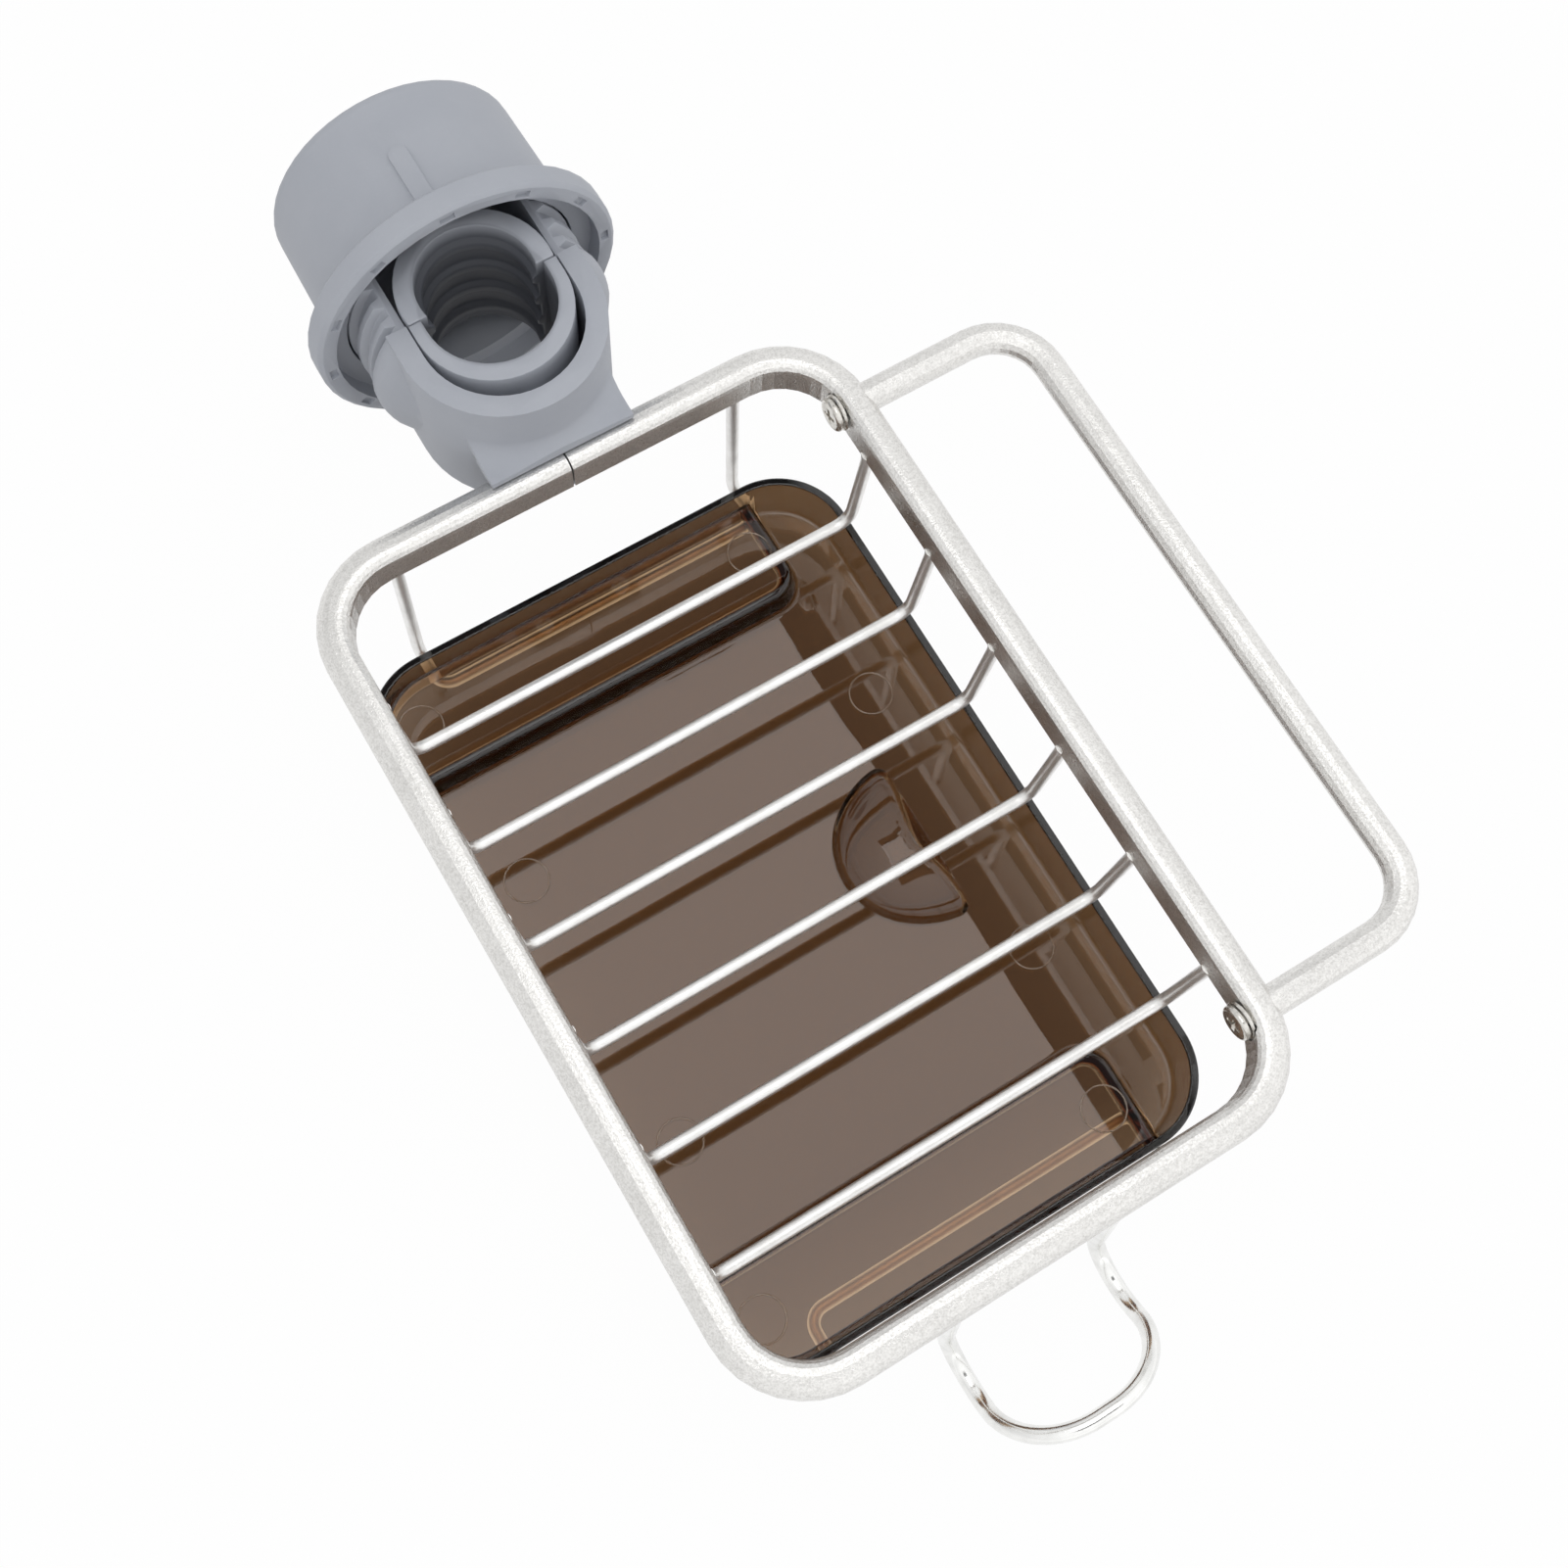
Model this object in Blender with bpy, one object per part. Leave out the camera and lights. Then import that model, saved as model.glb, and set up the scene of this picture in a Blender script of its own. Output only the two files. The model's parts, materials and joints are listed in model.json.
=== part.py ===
import bpy
import bmesh
import math
from mathutils import Matrix, Vector

# Faucet organizer: a rectangular bar frame with wire crossbars, a towel loop, a hook loop and a
# slide-out drip tray, held on a vertical faucet pipe by a screw-down plastic clamp.
# Lengths are in metres. X runs to the towel loop, Y from the frame to the clamp, Z up.
# The origin is on the pipe's axis, level with the top of the frame bar and the clamp's middle.

# Radii of the clamp, each built out from the half rings that grip the pipe
LINER_OUTER_RADIUS = 0.0174
LINER_WALL = 0.0029
PUSHER_WALL = 0.0043
LINER_CLEARANCE = 0.0004
U_CENTRE_Y = -0.0038
U_WALL = 0.0048
U_INNER_RADIUS = LINER_OUTER_RADIUS + LINER_CLEARANCE
U_OUTER_RADIUS = U_INNER_RADIUS + U_WALL
THREAD_RISE = 0.0029
THREAD_DEPTH = 0.0017
THREAD_CLEARANCE = 0.0005
SHOULDER_RISE = 0.001
THREAD_ROOT_RADIUS = U_OUTER_RADIUS + THREAD_RISE
THREAD_CREST_RADIUS = THREAD_ROOT_RADIUS + THREAD_DEPTH
SHOULDER_RADIUS = THREAD_CREST_RADIUS + SHOULDER_RISE
CAP_WALL = 0.0016
CAP_TAPER = 0.0008
SKIRT_STEP = 0.0021
FLANGE_BAND = 0.0041
CAP_BORE_RADIUS = THREAD_CREST_RADIUS + THREAD_CLEARANCE
CAP_END_RADIUS = CAP_BORE_RADIUS + CAP_WALL
CAP_MOUTH_RADIUS = CAP_END_RADIUS + CAP_TAPER
SKIRT_RADIUS = CAP_MOUTH_RADIUS + SKIRT_STEP
FLANGE_RADIUS = SKIRT_RADIUS + FLANGE_BAND

# Frame loop: its bar is let into the back of the clamp's U
FRAME_LENGTH = 0.1993
FRAME_WIDTH = 0.1325
BAR_LAP = 0.00125
BAR_OUTER_FACE_FROM_PIPE = U_OUTER_RADIUS - U_CENTRE_Y - BAR_LAP
FRAME_CENTRE_FROM_PIPE = BAR_OUTER_FACE_FROM_PIPE + FRAME_LENGTH / 2
BAR_WIDTH = 0.0075
BAR_HEIGHT = 0.009
BAR_CORNER_RADIUS = 0.0178
BAR_TOP_INNER_ROUND = 0.0025
BAR_SEAM_GAP = 0.0004

# Clearance between separate pieces that touch
SEAT = 0.0003

# Crossbars
WIRE_DIAMETER = 0.003
CROSSBAR_END_INSET = 0.03265
CROSSBAR_REACH = FRAME_LENGTH / 2 - CROSSBAR_END_INSET
CROSSBAR_POSITION_SHARES = (0.995, 0.597, 0.215, -0.182, -0.587, -1.003)
CROSSBAR_DEPTH = 0.0408
CROSSBAR_HALF_TOP = FRAME_WIDTH / 2 - BAR_WIDTH + WIRE_DIAMETER / 2
CROSSBAR_LEAN = 0.0018
CROSSBAR_HALF_FLAT = CROSSBAR_HALF_TOP - CROSSBAR_LEAN
CROSSBAR_BEND_RADIUS = 0.0048

# Towel loop and its fixings
TOWEL_ROD_DIAMETER = 0.007
TOWEL_END_INSET = 0.02125
TOWEL_HALF_SPAN = FRAME_LENGTH / 2 - TOWEL_END_INSET
TOWEL_OFFSET_Y = -0.0012
TOWEL_REACH = 0.0393
TOWEL_BEND_RADIUS = 0.0135
TOWEL_SCREW_DIAMETER = 0.0039
TOWEL_SCREW_HOLE_DIAMETER = 0.0045
TOWEL_SCREW_REACH = 0.0085
TOWEL_TAPPED_DEPTH = 0.01
TOWEL_HEAD_DIAMETER = 0.008
TOWEL_HEAD_HEIGHT = 0.0029
TOWEL_WASHER_DIAMETER = 0.0086
TOWEL_WASHER_THICKNESS = 0.0008

# Hangers that carry the drip tray
HANGER_SIDE_INSET = 0.02385
HANGER_HALF_SPAN_TOP = FRAME_WIDTH / 2 - HANGER_SIDE_INSET
HANGER_SPLAY = 0.0014
HANGER_HALF_SPAN_FOOT = HANGER_HALF_SPAN_TOP + HANGER_SPLAY
HANGER_BEND_RADIUS = 0.0042
HANGER_FOOT_OVERLAP = 0.00365
HANGER_INSET = BAR_WIDTH / 2

# Hook loop
HOOK_WIRE_DIAMETER = 0.004
HOOK_HALF_SPAN = 0.0199
HOOK_LEG_INSET = 0.0034
HOOK_CURVE_RADIUS = 0.0111
HOOK_CURVE_CENTRE_OUT = 0.0145
HOOK_CURVE_CENTRE_DROP = 0.0546
HOOK_TURN = math.radians(138)
HOOK_TIP_LENGTH = 0.0174
HOOK_TIP_RADIUS = 0.0178

# Drip tray
TRAY_CLEARANCE_CLAMP_END = 0.00635
TRAY_CLEARANCE_HOOK_END = 0.00095
TRAY_ROOM = FRAME_LENGTH - 2 * HANGER_INSET - WIRE_DIAMETER
TRAY_LENGTH = TRAY_ROOM - TRAY_CLEARANCE_CLAMP_END - TRAY_CLEARANCE_HOOK_END
TRAY_SIDE_INSET = 0.0041
TRAY_WIDTH = FRAME_WIDTH - 2 * TRAY_SIDE_INSET
TRAY_OFFSET_X = -0.0028
TRAY_OFFSET_Y = (TRAY_CLEARANCE_HOOK_END - TRAY_CLEARANCE_CLAMP_END) / 2
TRAY_CROSSBAR_CLEARANCE = 0.0019
TRAY_RIM_DROP = CROSSBAR_DEPTH + WIRE_DIAMETER / 2 + TRAY_CROSSBAR_CLEARANCE
TRAY_HEIGHT = 0.0148
TRAY_WALL = 0.002
TRAY_DRAFT = 0.0008
TRAY_CORNER_RADIUS = 0.018
TRAY_BLOCK_DEPTH = 0.0265
TRAY_BLOCK_RIM_STEP = 0.0055
TRAY_BLOCK_END_GAP = 0.0135
TRAY_BLOCK_CORNER = 0.008
TRAY_BLOCK_EDGE_ROUND = 0.0025
TRAY_POCKET_WIDTH = 0.04
TRAY_POCKET_REACH = 0.021
TRAY_POCKET_HEIGHT = 0.0085
TRAY_POCKET_CROWN = 0.0065
POCKET_HEIGHT_SHARES = (0, 0.4, 0.7, 0.9, 1)
POCKET_CROWN_SHARES = (0, 0.06, 0.25, 0.55, 1)
TRAY_POCKET_SIDE_INSET = 0.02265
TRAY_POCKET_WALL_X = TRAY_OFFSET_X + TRAY_WIDTH / 2 - TRAY_POCKET_SIDE_INSET
TRAY_POCKET_CENTRE_Y = -0.0052

# Clamp body: the U that takes the pipe, its foot on the bar and its threaded arms
CLAMP_HALF_HEIGHT = 0.018
U_FACE_END_Y = 0.0042
U_LOW_END = 0.0192
SHOULDER_START_Y = -0.0088
SHOULDER_END_Y = 0.0022
ARM_END_Y = 0.038
ARM_HALF_HEIGHT = 0.0165
THREAD_PITCH = 0.005
THREAD_START_Y = 0.0062
THREAD_RIDGE_BASE = 0.0028
THREAD_RIDGE_CREST = 0.0014
FOOT_HALF_WIDTH = 0.0172
FOOT_THICKNESS = 0.0017
FOOT_FRONT_INSET = 0.0037
FLARE_RADIUS = 0.006
LOWER_LIP_THICKNESS = 0.0024
LOWER_LIP_HALF_WIDTH = 0.0155
LOWER_LIP_REACH = 0.0059

# Screws that hold the clamp on the two ends of the bar
CLAMP_SCREW_SPACING = 0.022
CLAMP_SCREW_INSET = 0.0032
CLAMP_SCREW_DIAMETER = 0.003
CLAMP_SCREW_HOLE_DIAMETER = 0.0036
CLAMP_SCREW_REACH = 0.006
CLAMP_HEAD_DIAMETER = 0.005
CLAMP_HEAD_HEIGHT = 0.0015

# Liner and pusher: the two half rings that grip the pipe
LINER_INNER_RADIUS = LINER_OUTER_RADIUS - LINER_WALL
LINER_INNER_CENTRE_Y = 0.0011
LINER_OUTER_CENTRE_Y = -0.0002
LINER_RIB_HALF_WIDTH = 0.0025
LINER_RIB_TOP_DROP = 0.009
LINER_RIB_FOOT_RISE = 0.003
PUSHER_CENTRE_Y = 0.0069
PUSHER_OUTER_RADIUS = LINER_OUTER_RADIUS
PUSHER_INNER_RADIUS = PUSHER_OUTER_RADIUS - PUSHER_WALL
PUSHER_RING_HEIGHT = 0.0012
PUSHER_RING_BAND = 0.0019
PUSHER_RING_SHARES = (-0.72, -0.26, 0.2, 0.66)
PUSHER_NECK_RADIUS = 0.007
PUSHER_HEAD_RADIUS = 0.009

# Cap: the turning cup on the threaded arms
FLANGE_FRONT_Y = 0.0127
FLANGE_LENGTH = 0.0062
SKIRT_DEPTH = 0.0042
CAP_END_Y = 0.0507
CAP_END_ROUND = 0.0032
CAP_END_WALL = 0.0026
CAP_EDGE_ROUND = 0.0009
COLLAR_RADIUS = 0.0125
COLLAR_LENGTH = 0.0072
COLLAR_LIP = 0.0016
CAP_RIB_COUNT = 3
CAP_RIB_ANGLE = math.radians(94.5)
CAP_RIB_WIDTH = 0.0042
CAP_RIB_RISE = 0.0007
CAP_RIB_LENGTH = 0.0175
NOTCH_COUNT = 12
NOTCH_INSET = 0.0014
NOTCH_RADIUS = SKIRT_RADIUS + NOTCH_INSET
NOTCH_WIDTH = 0.0034
NOTCH_HEIGHT = 0.0018
NOTCH_DEPTH = 0.0009
NOTCH_FIRST_ANGLE = math.radians(2.5)

# Overlap used where a cutting or joining shape runs past a face
PAST = 0.0005

# Points closer than this are one point
MERGE = 0.000002

# Facets
ROUND_STEPS = 48
WIRE_STEPS = 12
ROD_STEPS = 16
BEND_STEPS = 6
CORNER_STEPS = 8
BAR_ROUND_STEPS = 10
EDGE_STEPS = 4
POCKET_STEPS = 12
SMOOTH_ANGLE = math.radians(34)


def clear_scene():
    for item in list(bpy.data.objects):
        bpy.data.objects.remove(item, do_unlink=True)


def make_material(name, colour, metallic, roughness, alpha):
    material = bpy.data.materials.new(name)
    material.use_nodes = True
    shader = material.node_tree.nodes["Principled BSDF"]
    shader.inputs["Base Color"].default_value = (colour[0], colour[1], colour[2], 1)
    shader.inputs["Metallic"].default_value = metallic
    shader.inputs["Roughness"].default_value = roughness
    shader.inputs["Alpha"].default_value = alpha
    return material


def new_object(name, shape):
    bmesh.ops.recalc_face_normals(shape, faces=shape.faces)
    if shape.calc_volume(signed=True) < 0:
        bmesh.ops.reverse_faces(shape, faces=shape.faces)
    mesh = bpy.data.meshes.new(name)
    shape.to_mesh(mesh)
    shape.free()
    item = bpy.data.objects.new(name, mesh)
    bpy.context.scene.collection.objects.link(item)
    return item


def combine(target, tool, operation):
    modifier = target.modifiers.new("combine", "BOOLEAN")
    modifier.operation = operation
    modifier.solver = "EXACT"
    modifier.object = tool
    graph = bpy.context.evaluated_depsgraph_get()
    result = bpy.data.meshes.new_from_object(target.evaluated_get(graph))
    target.modifiers.clear()
    shape = bmesh.new()
    shape.from_mesh(result)
    bmesh.ops.remove_doubles(shape, verts=shape.verts, dist=MERGE)
    bmesh.ops.dissolve_degenerate(shape, edges=shape.edges, dist=MERGE)
    shape.to_mesh(result)
    shape.free()
    target.data = result
    bpy.data.objects.remove(tool, do_unlink=True)


def finish(item, origin, material):
    point = Vector(origin)
    item.data.transform(Matrix.Translation(-point))
    item.location = point
    item.data.materials.clear()
    item.data.materials.append(material)
    item.data.shade_smooth()
    item.data.set_sharp_from_angle(angle=SMOOTH_ANGLE)
    return item


# A solid between outlines that all have the same number of points
def loft(name, loops):
    shape = bmesh.new()
    rings = [[shape.verts.new(point) for point in loop] for loop in loops]
    for first, second in zip(rings[:-1], rings[1:]):
        count = len(first)
        for index in range(count):
            after = (index + 1) % count
            shape.faces.new((first[index], first[after], second[after], second[index]))
    shape.faces.new(rings[0][::-1])
    shape.faces.new(rings[-1])
    return new_object(name, shape)


def prism(name, outline, low, high):
    bottom = [(x, y, low) for x, y in outline]
    top = [(x, y, high) for x, y in outline]
    return loft(name, [bottom, top])


def box(name, low, high):
    outline = [(low[0], low[1]), (high[0], low[1]), (high[0], high[1]), (low[0], high[1])]
    return prism(name, outline, low[2], high[2])


# A turned solid: the profile is a closed list of (radius, height) about a line through the centre
def turn(name, profile, centre, along_y, steps=ROUND_STEPS):
    shape = bmesh.new()
    rings = []
    for radius, height in profile:
        ring = []
        turns = 1 if radius == 0 else steps
        for index in range(turns):
            angle = math.tau * index / steps
            across = radius * math.cos(angle)
            upward = radius * math.sin(angle)
            if along_y:
                point = (centre[0] + across, height, centre[2] + upward)
            else:
                point = (centre[0] + across, centre[1] + upward, height)
            ring.append(shape.verts.new(point))
        rings.append(ring)
    count = len(rings)
    for place in range(count):
        first = rings[place]
        second = rings[(place + 1) % count]
        if len(first) == 1 and len(second) == 1:
            continue
        for index in range(steps):
            after = (index + 1) % steps
            corners = [first[index % len(first)], first[after % len(first)]]
            corners += [second[after % len(second)], second[index % len(second)]]
            unique = []
            for corner in corners:
                if corner not in unique:
                    unique.append(corner)
            shape.faces.new(unique)
    return new_object(name, shape)


def arc(centre, radius, start, end, steps):
    points = []
    for index in range(steps + 1):
        angle = start + (end - start) * index / steps
        points.append((centre[0] + radius * math.cos(angle), centre[1] + radius * math.sin(angle)))
    return points


# A polyline with each inner corner replaced by an arc that touches both sides
def rounded_path(corners, radius, steps=BEND_STEPS):
    corners = [Vector(corner) for corner in corners]
    path = [corners[0]]
    for before, corner, after in zip(corners[:-2], corners[1:-1], corners[2:]):
        back = (before - corner).normalized()
        ahead = (after - corner).normalized()
        half = back.angle(ahead) / 2
        reach = radius / math.tan(half)
        middle = corner + (back + ahead).normalized() * (radius / math.sin(half))
        start = corner + back * reach - middle
        end = corner + ahead * reach - middle
        sweep_angle = math.pi - 2 * half
        for index in range(steps + 1):
            share = sweep_angle * index / steps
            mixed = start * math.sin(sweep_angle - share) + end * math.sin(share)
            path.append(middle + mixed / math.sin(sweep_angle))
    path.append(corners[-1])
    return path


# A section carried along a path without twisting; the section lists (across, up) points
def sweep(name, path, section, across):
    path = [Vector(point) for point in path]
    across = Vector(across).normalized()
    loops = []
    for index, point in enumerate(path):
        ahead = path[min(index + 1, len(path) - 1)] - point
        behind = point - path[max(index - 1, 0)]
        if ahead.length == 0:
            ahead = behind
        if behind.length == 0:
            behind = ahead
        along = (ahead.normalized() + behind.normalized()).normalized()
        across = (across - along * across.dot(along)).normalized()
        up = along.cross(across)
        widen = 1 / along.dot(ahead.normalized())
        bend = ahead.normalized() - behind.normalized()
        loop = []
        for side, rise in section:
            offset = across * side + up * rise
            if bend.length > 0:
                inward = bend.normalized()
                offset = offset + inward * offset.dot(inward) * (widen - 1)
            loop.append(point + offset)
        loops.append(loop)
    return loft(name, loops)


def round_section(diameter, steps):
    return arc((0, 0), diameter / 2, 0, math.tau * (steps - 1) / steps, steps - 1)


# Outline of a rectangle with rounded corners, counter-clockwise
def rounded_rectangle(low, high, radius, steps=CORNER_STEPS):
    quarter = math.pi / 2
    points = []
    points += arc((high[0] - radius, low[1] + radius), radius, -quarter, 0, steps)
    points += arc((high[0] - radius, high[1] - radius), radius, 0, quarter, steps)
    points += arc((low[0] + radius, high[1] - radius), radius, quarter, 2 * quarter, steps)
    points += arc((low[0] + radius, low[1] + radius), radius, 2 * quarter, 3 * quarter, steps)
    return points


def cylinder(name, start, end, diameter, steps=ROD_STEPS):
    direction = Vector(end) - Vector(start)
    across = Vector((0, 0, 1)) if abs(direction.z) < direction.length / 2 else Vector((1, 0, 0))
    return sweep(name, [start, end], round_section(diameter, steps), across)


# Section of the frame bar: flat inside and below, rounded outside and along the top inner edge
def bar_section(grow):
    quarter = math.pi / 2
    outer_round = BAR_HEIGHT / 2 + grow
    inner = -BAR_WIDTH / 2 - grow
    centre_side = BAR_WIDTH / 2 - BAR_HEIGHT / 2
    top_round = BAR_TOP_INNER_ROUND + grow
    top = BAR_HEIGHT / 2 + grow
    section = [(inner, -top)]
    section += arc((centre_side, 0), outer_round, -quarter, quarter, BAR_ROUND_STEPS)
    section += arc((inner + top_round, top - top_round), top_round, quarter, 2 * quarter, EDGE_STEPS)
    return section


def build_frame(materials):
    half_x = FRAME_WIDTH / 2 - BAR_WIDTH / 2
    half_y = FRAME_LENGTH / 2 - BAR_WIDTH / 2
    middle_y = -FRAME_CENTRE_FROM_PIPE
    level = -BAR_HEIGHT / 2
    far = middle_y + half_y
    near = middle_y - half_y
    gap = BAR_SEAM_GAP / 2
    corners = [(gap, far, level), (half_x, far, level), (half_x, near, level)]
    corners += [(-half_x, near, level), (-half_x, far, level), (-gap, far, level)]
    path = rounded_path(corners, BAR_CORNER_RADIUS, CORNER_STEPS)
    frame = sweep("frame_loop", path, bar_section(0), (0, 1, 0))
    inner_face = FRAME_WIDTH / 2 - BAR_WIDTH
    outer_face = FRAME_WIDTH / 2
    for side in (-1, 1):
        place = middle_y + TOWEL_OFFSET_Y + side * TOWEL_HALF_SPAN
        start = (inner_face - BAR_WIDTH, place, level)
        flat = (inner_face, place, level)
        end = (outer_face + PAST, place, level)
        combine(frame, cylinder("seat", start, flat, TOWEL_WASHER_DIAMETER + 2 * SEAT), "DIFFERENCE")
        combine(frame, cylinder("hole", start, end, TOWEL_SCREW_HOLE_DIAMETER), "DIFFERENCE")
    hole_y = middle_y + FRAME_LENGTH / 2 - CLAMP_SCREW_INSET
    for side in (-1, 1):
        place = side * CLAMP_SCREW_SPACING / 2
        start = (place, hole_y, -BAR_HEIGHT - PAST)
        end = (place, hole_y, -BAR_HEIGHT + CLAMP_SCREW_REACH + SEAT)
        hole = cylinder("hole", start, end, CLAMP_SCREW_HOLE_DIAMETER)
        combine(frame, hole, "DIFFERENCE")
    finish(frame, (0, middle_y, level), materials["aluminium"])


def build_crossbars(materials):
    top = -BAR_HEIGHT - SEAT
    for index, share in enumerate(CROSSBAR_POSITION_SHARES):
        place = -FRAME_CENTRE_FROM_PIPE + share * CROSSBAR_REACH
        corners = [(-CROSSBAR_HALF_TOP, place, top), (-CROSSBAR_HALF_FLAT, place, -CROSSBAR_DEPTH)]
        corners += [(-x, y, z) for x, y, z in reversed(corners)]
        path = rounded_path(corners, CROSSBAR_BEND_RADIUS)
        section = round_section(WIRE_DIAMETER, WIRE_STEPS)
        bar = sweep("crossbar_" + str(index + 1), path, section, (0, 1, 0))
        finish(bar, (0, place, -CROSSBAR_DEPTH), materials["wire"])


def build_towel_loop(materials):
    level = -BAR_HEIGHT / 2
    outer_face = FRAME_WIDTH / 2
    middle_y = -FRAME_CENTRE_FROM_PIPE + TOWEL_OFFSET_Y
    start_x = outer_face - BAR_WIDTH / 2
    run_x = outer_face + TOWEL_REACH
    far = middle_y + TOWEL_HALF_SPAN
    near = middle_y - TOWEL_HALF_SPAN
    corners = [(start_x, far, level), (run_x, far, level), (run_x, near, level), (start_x, near, level)]
    path = rounded_path(corners, TOWEL_BEND_RADIUS, CORNER_STEPS)
    rod = sweep("towel_bar", path, round_section(TOWEL_ROD_DIAMETER, ROD_STEPS), (0, 0, 1))
    for place in (far, near):
        start = (start_x - PAST, place, level)
        end = (outer_face + TOWEL_TAPPED_DEPTH, place, level)
        hole = cylinder("hole", start, end, TOWEL_SCREW_HOLE_DIAMETER)
        combine(rod, hole, "DIFFERENCE")
        # the rod's end is cut to the bar's round outer face
        cope_path = [(start_x, place + BAR_WIDTH, level), (start_x, place - BAR_WIDTH, level)]
        combine(rod, sweep("cope", cope_path, bar_section(SEAT), (1, 0, 0)), "DIFFERENCE")
    finish(rod, (outer_face, middle_y, level), materials["aluminium"])
    inner_face = outer_face - BAR_WIDTH
    washer_face = inner_face - SEAT
    head_face = washer_face - TOWEL_WASHER_THICKNESS - SEAT
    for index, place in enumerate((far, near)):
        number = str(index + 1)
        washer = turned_along_x("towel_washer_" + number, washer_profile(), (washer_face, place, level))
        finish(washer, (washer_face, place, level), materials["nickel"])
        screw = turned_along_x("towel_screw_" + number, towel_screw_profile(), (head_face, place, level))
        finish(screw, (head_face, place, level), materials["nickel"])


def washer_profile():
    outer = TOWEL_WASHER_DIAMETER / 2
    inner = TOWEL_SCREW_HOLE_DIAMETER / 2
    thick = TOWEL_WASHER_THICKNESS
    return [(inner, 0), (outer, 0), (outer, thick), (inner, thick)]


# Pan head screw: height zero is the face under the head, the shank runs to negative height
def pan_profile(head_radius, head_height, shank_radius, reach):
    crown = head_height / 2
    profile = [(0, -reach), (shank_radius, -reach), (shank_radius, 0), (head_radius, 0)]
    profile += [(head_radius, head_height - crown)]
    for index in range(1, EDGE_STEPS):
        angle = math.pi / 2 * index / EDGE_STEPS
        rounding = head_radius - crown * (1 - math.cos(angle))
        profile.append((rounding, head_height - crown + crown * math.sin(angle)))
    profile.append((0, head_height))
    return profile


def towel_screw_profile():
    through = TOWEL_WASHER_THICKNESS + SEAT + SEAT + BAR_WIDTH + TOWEL_SCREW_REACH
    head = TOWEL_HEAD_DIAMETER / 2
    return pan_profile(head, TOWEL_HEAD_HEIGHT, TOWEL_SCREW_DIAMETER / 2, through)


# Turned about a line along X, with height running towards the basket
def turned_along_x(name, profile, base):
    item = turn(name, profile, (0, 0, 0), False, ROD_STEPS)
    item.data.transform(Matrix.Rotation(-math.pi / 2, 4, "Y"))
    item.data.transform(Matrix.Translation(Vector(base)))
    return item


def build_hangers(materials):
    top = -BAR_HEIGHT - SEAT
    tray_bottom = -TRAY_RIM_DROP - TRAY_HEIGHT
    foot_z = tray_bottom - SEAT - WIRE_DIAMETER / 2
    reach = FRAME_LENGTH / 2 - HANGER_INSET
    ends = (("hanger_clamp_end", 1), ("hanger_hook_end", -1))
    foot_length = WIRE_DIAMETER / 2 + TRAY_CLEARANCE_CLAMP_END + HANGER_FOOT_OVERLAP
    for name, side in ends:
        place = -FRAME_CENTRE_FROM_PIPE + side * reach
        inner = place - side * foot_length
        corners = [(-HANGER_HALF_SPAN_TOP, place, top), (-HANGER_HALF_SPAN_FOOT, place, foot_z)]
        corners += [(-HANGER_HALF_SPAN_FOOT, inner, foot_z)]
        corners += [(-x, y, z) for x, y, z in reversed(corners)]
        path = rounded_path(corners, HANGER_BEND_RADIUS)
        wire = sweep(name, path, round_section(WIRE_DIAMETER, WIRE_STEPS), (1, 0, 0))
        finish(wire, (0, place, top), materials["wire"])


# The hook is a flat U whose length is then wrapped down, round and up along a J
def build_hook(materials):
    frame_end = -FRAME_CENTRE_FROM_PIPE - FRAME_LENGTH / 2
    top = Vector((frame_end + HOOK_LEG_INSET, -BAR_HEIGHT - SEAT))
    centre = Vector((frame_end - HOOK_CURVE_CENTRE_OUT, -HOOK_CURVE_CENTRE_DROP))
    run = top - centre
    lean = math.atan2(run.y, run.x) - math.acos(HOOK_CURVE_RADIUS / run.length)
    touch = centre + HOOK_CURVE_RADIUS * Vector((math.cos(lean), math.sin(lean)))
    leg_length = (touch - top).length
    curve_length = HOOK_CURVE_RADIUS * (lean + HOOK_TURN)
    total = leg_length + curve_length + HOOK_TIP_LENGTH
    corners = [(-HOOK_HALF_SPAN, 0, 0), (-HOOK_HALF_SPAN, total, 0)]
    corners += [(HOOK_HALF_SPAN, total, 0), (HOOK_HALF_SPAN, 0, 0)]
    flat = rounded_path(corners, HOOK_TIP_RADIUS, CORNER_STEPS)
    straight_end = total - HOOK_TIP_RADIUS
    step = (straight_end - leg_length) / CORNER_STEPS
    stops = [leg_length + step * index for index in range(CORNER_STEPS)]
    left = [Vector((-HOOK_HALF_SPAN, along, 0)) for along in stops]
    right = [Vector((HOOK_HALF_SPAN, along, 0)) for along in reversed(stops)]
    path = []
    for point in [flat[0]] + left + flat[1:-1] + right + [flat[-1]]:
        along = point.y
        if along <= leg_length:
            place = top.lerp(touch, along / leg_length)
        else:
            past_curve = max(along - leg_length - curve_length, 0)
            angle = lean - (along - leg_length - past_curve) / HOOK_CURVE_RADIUS
            place = centre + HOOK_CURVE_RADIUS * Vector((math.cos(angle), math.sin(angle)))
            place = place + past_curve * Vector((math.sin(angle), -math.cos(angle)))
        path.append((point.x, place.x, place.y))
    hook = sweep("hook_loop", path, round_section(HOOK_WIRE_DIAMETER, WIRE_STEPS), (1, 0, 0))
    finish(hook, (0, top.x, top.y), materials["chrome"])


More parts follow.
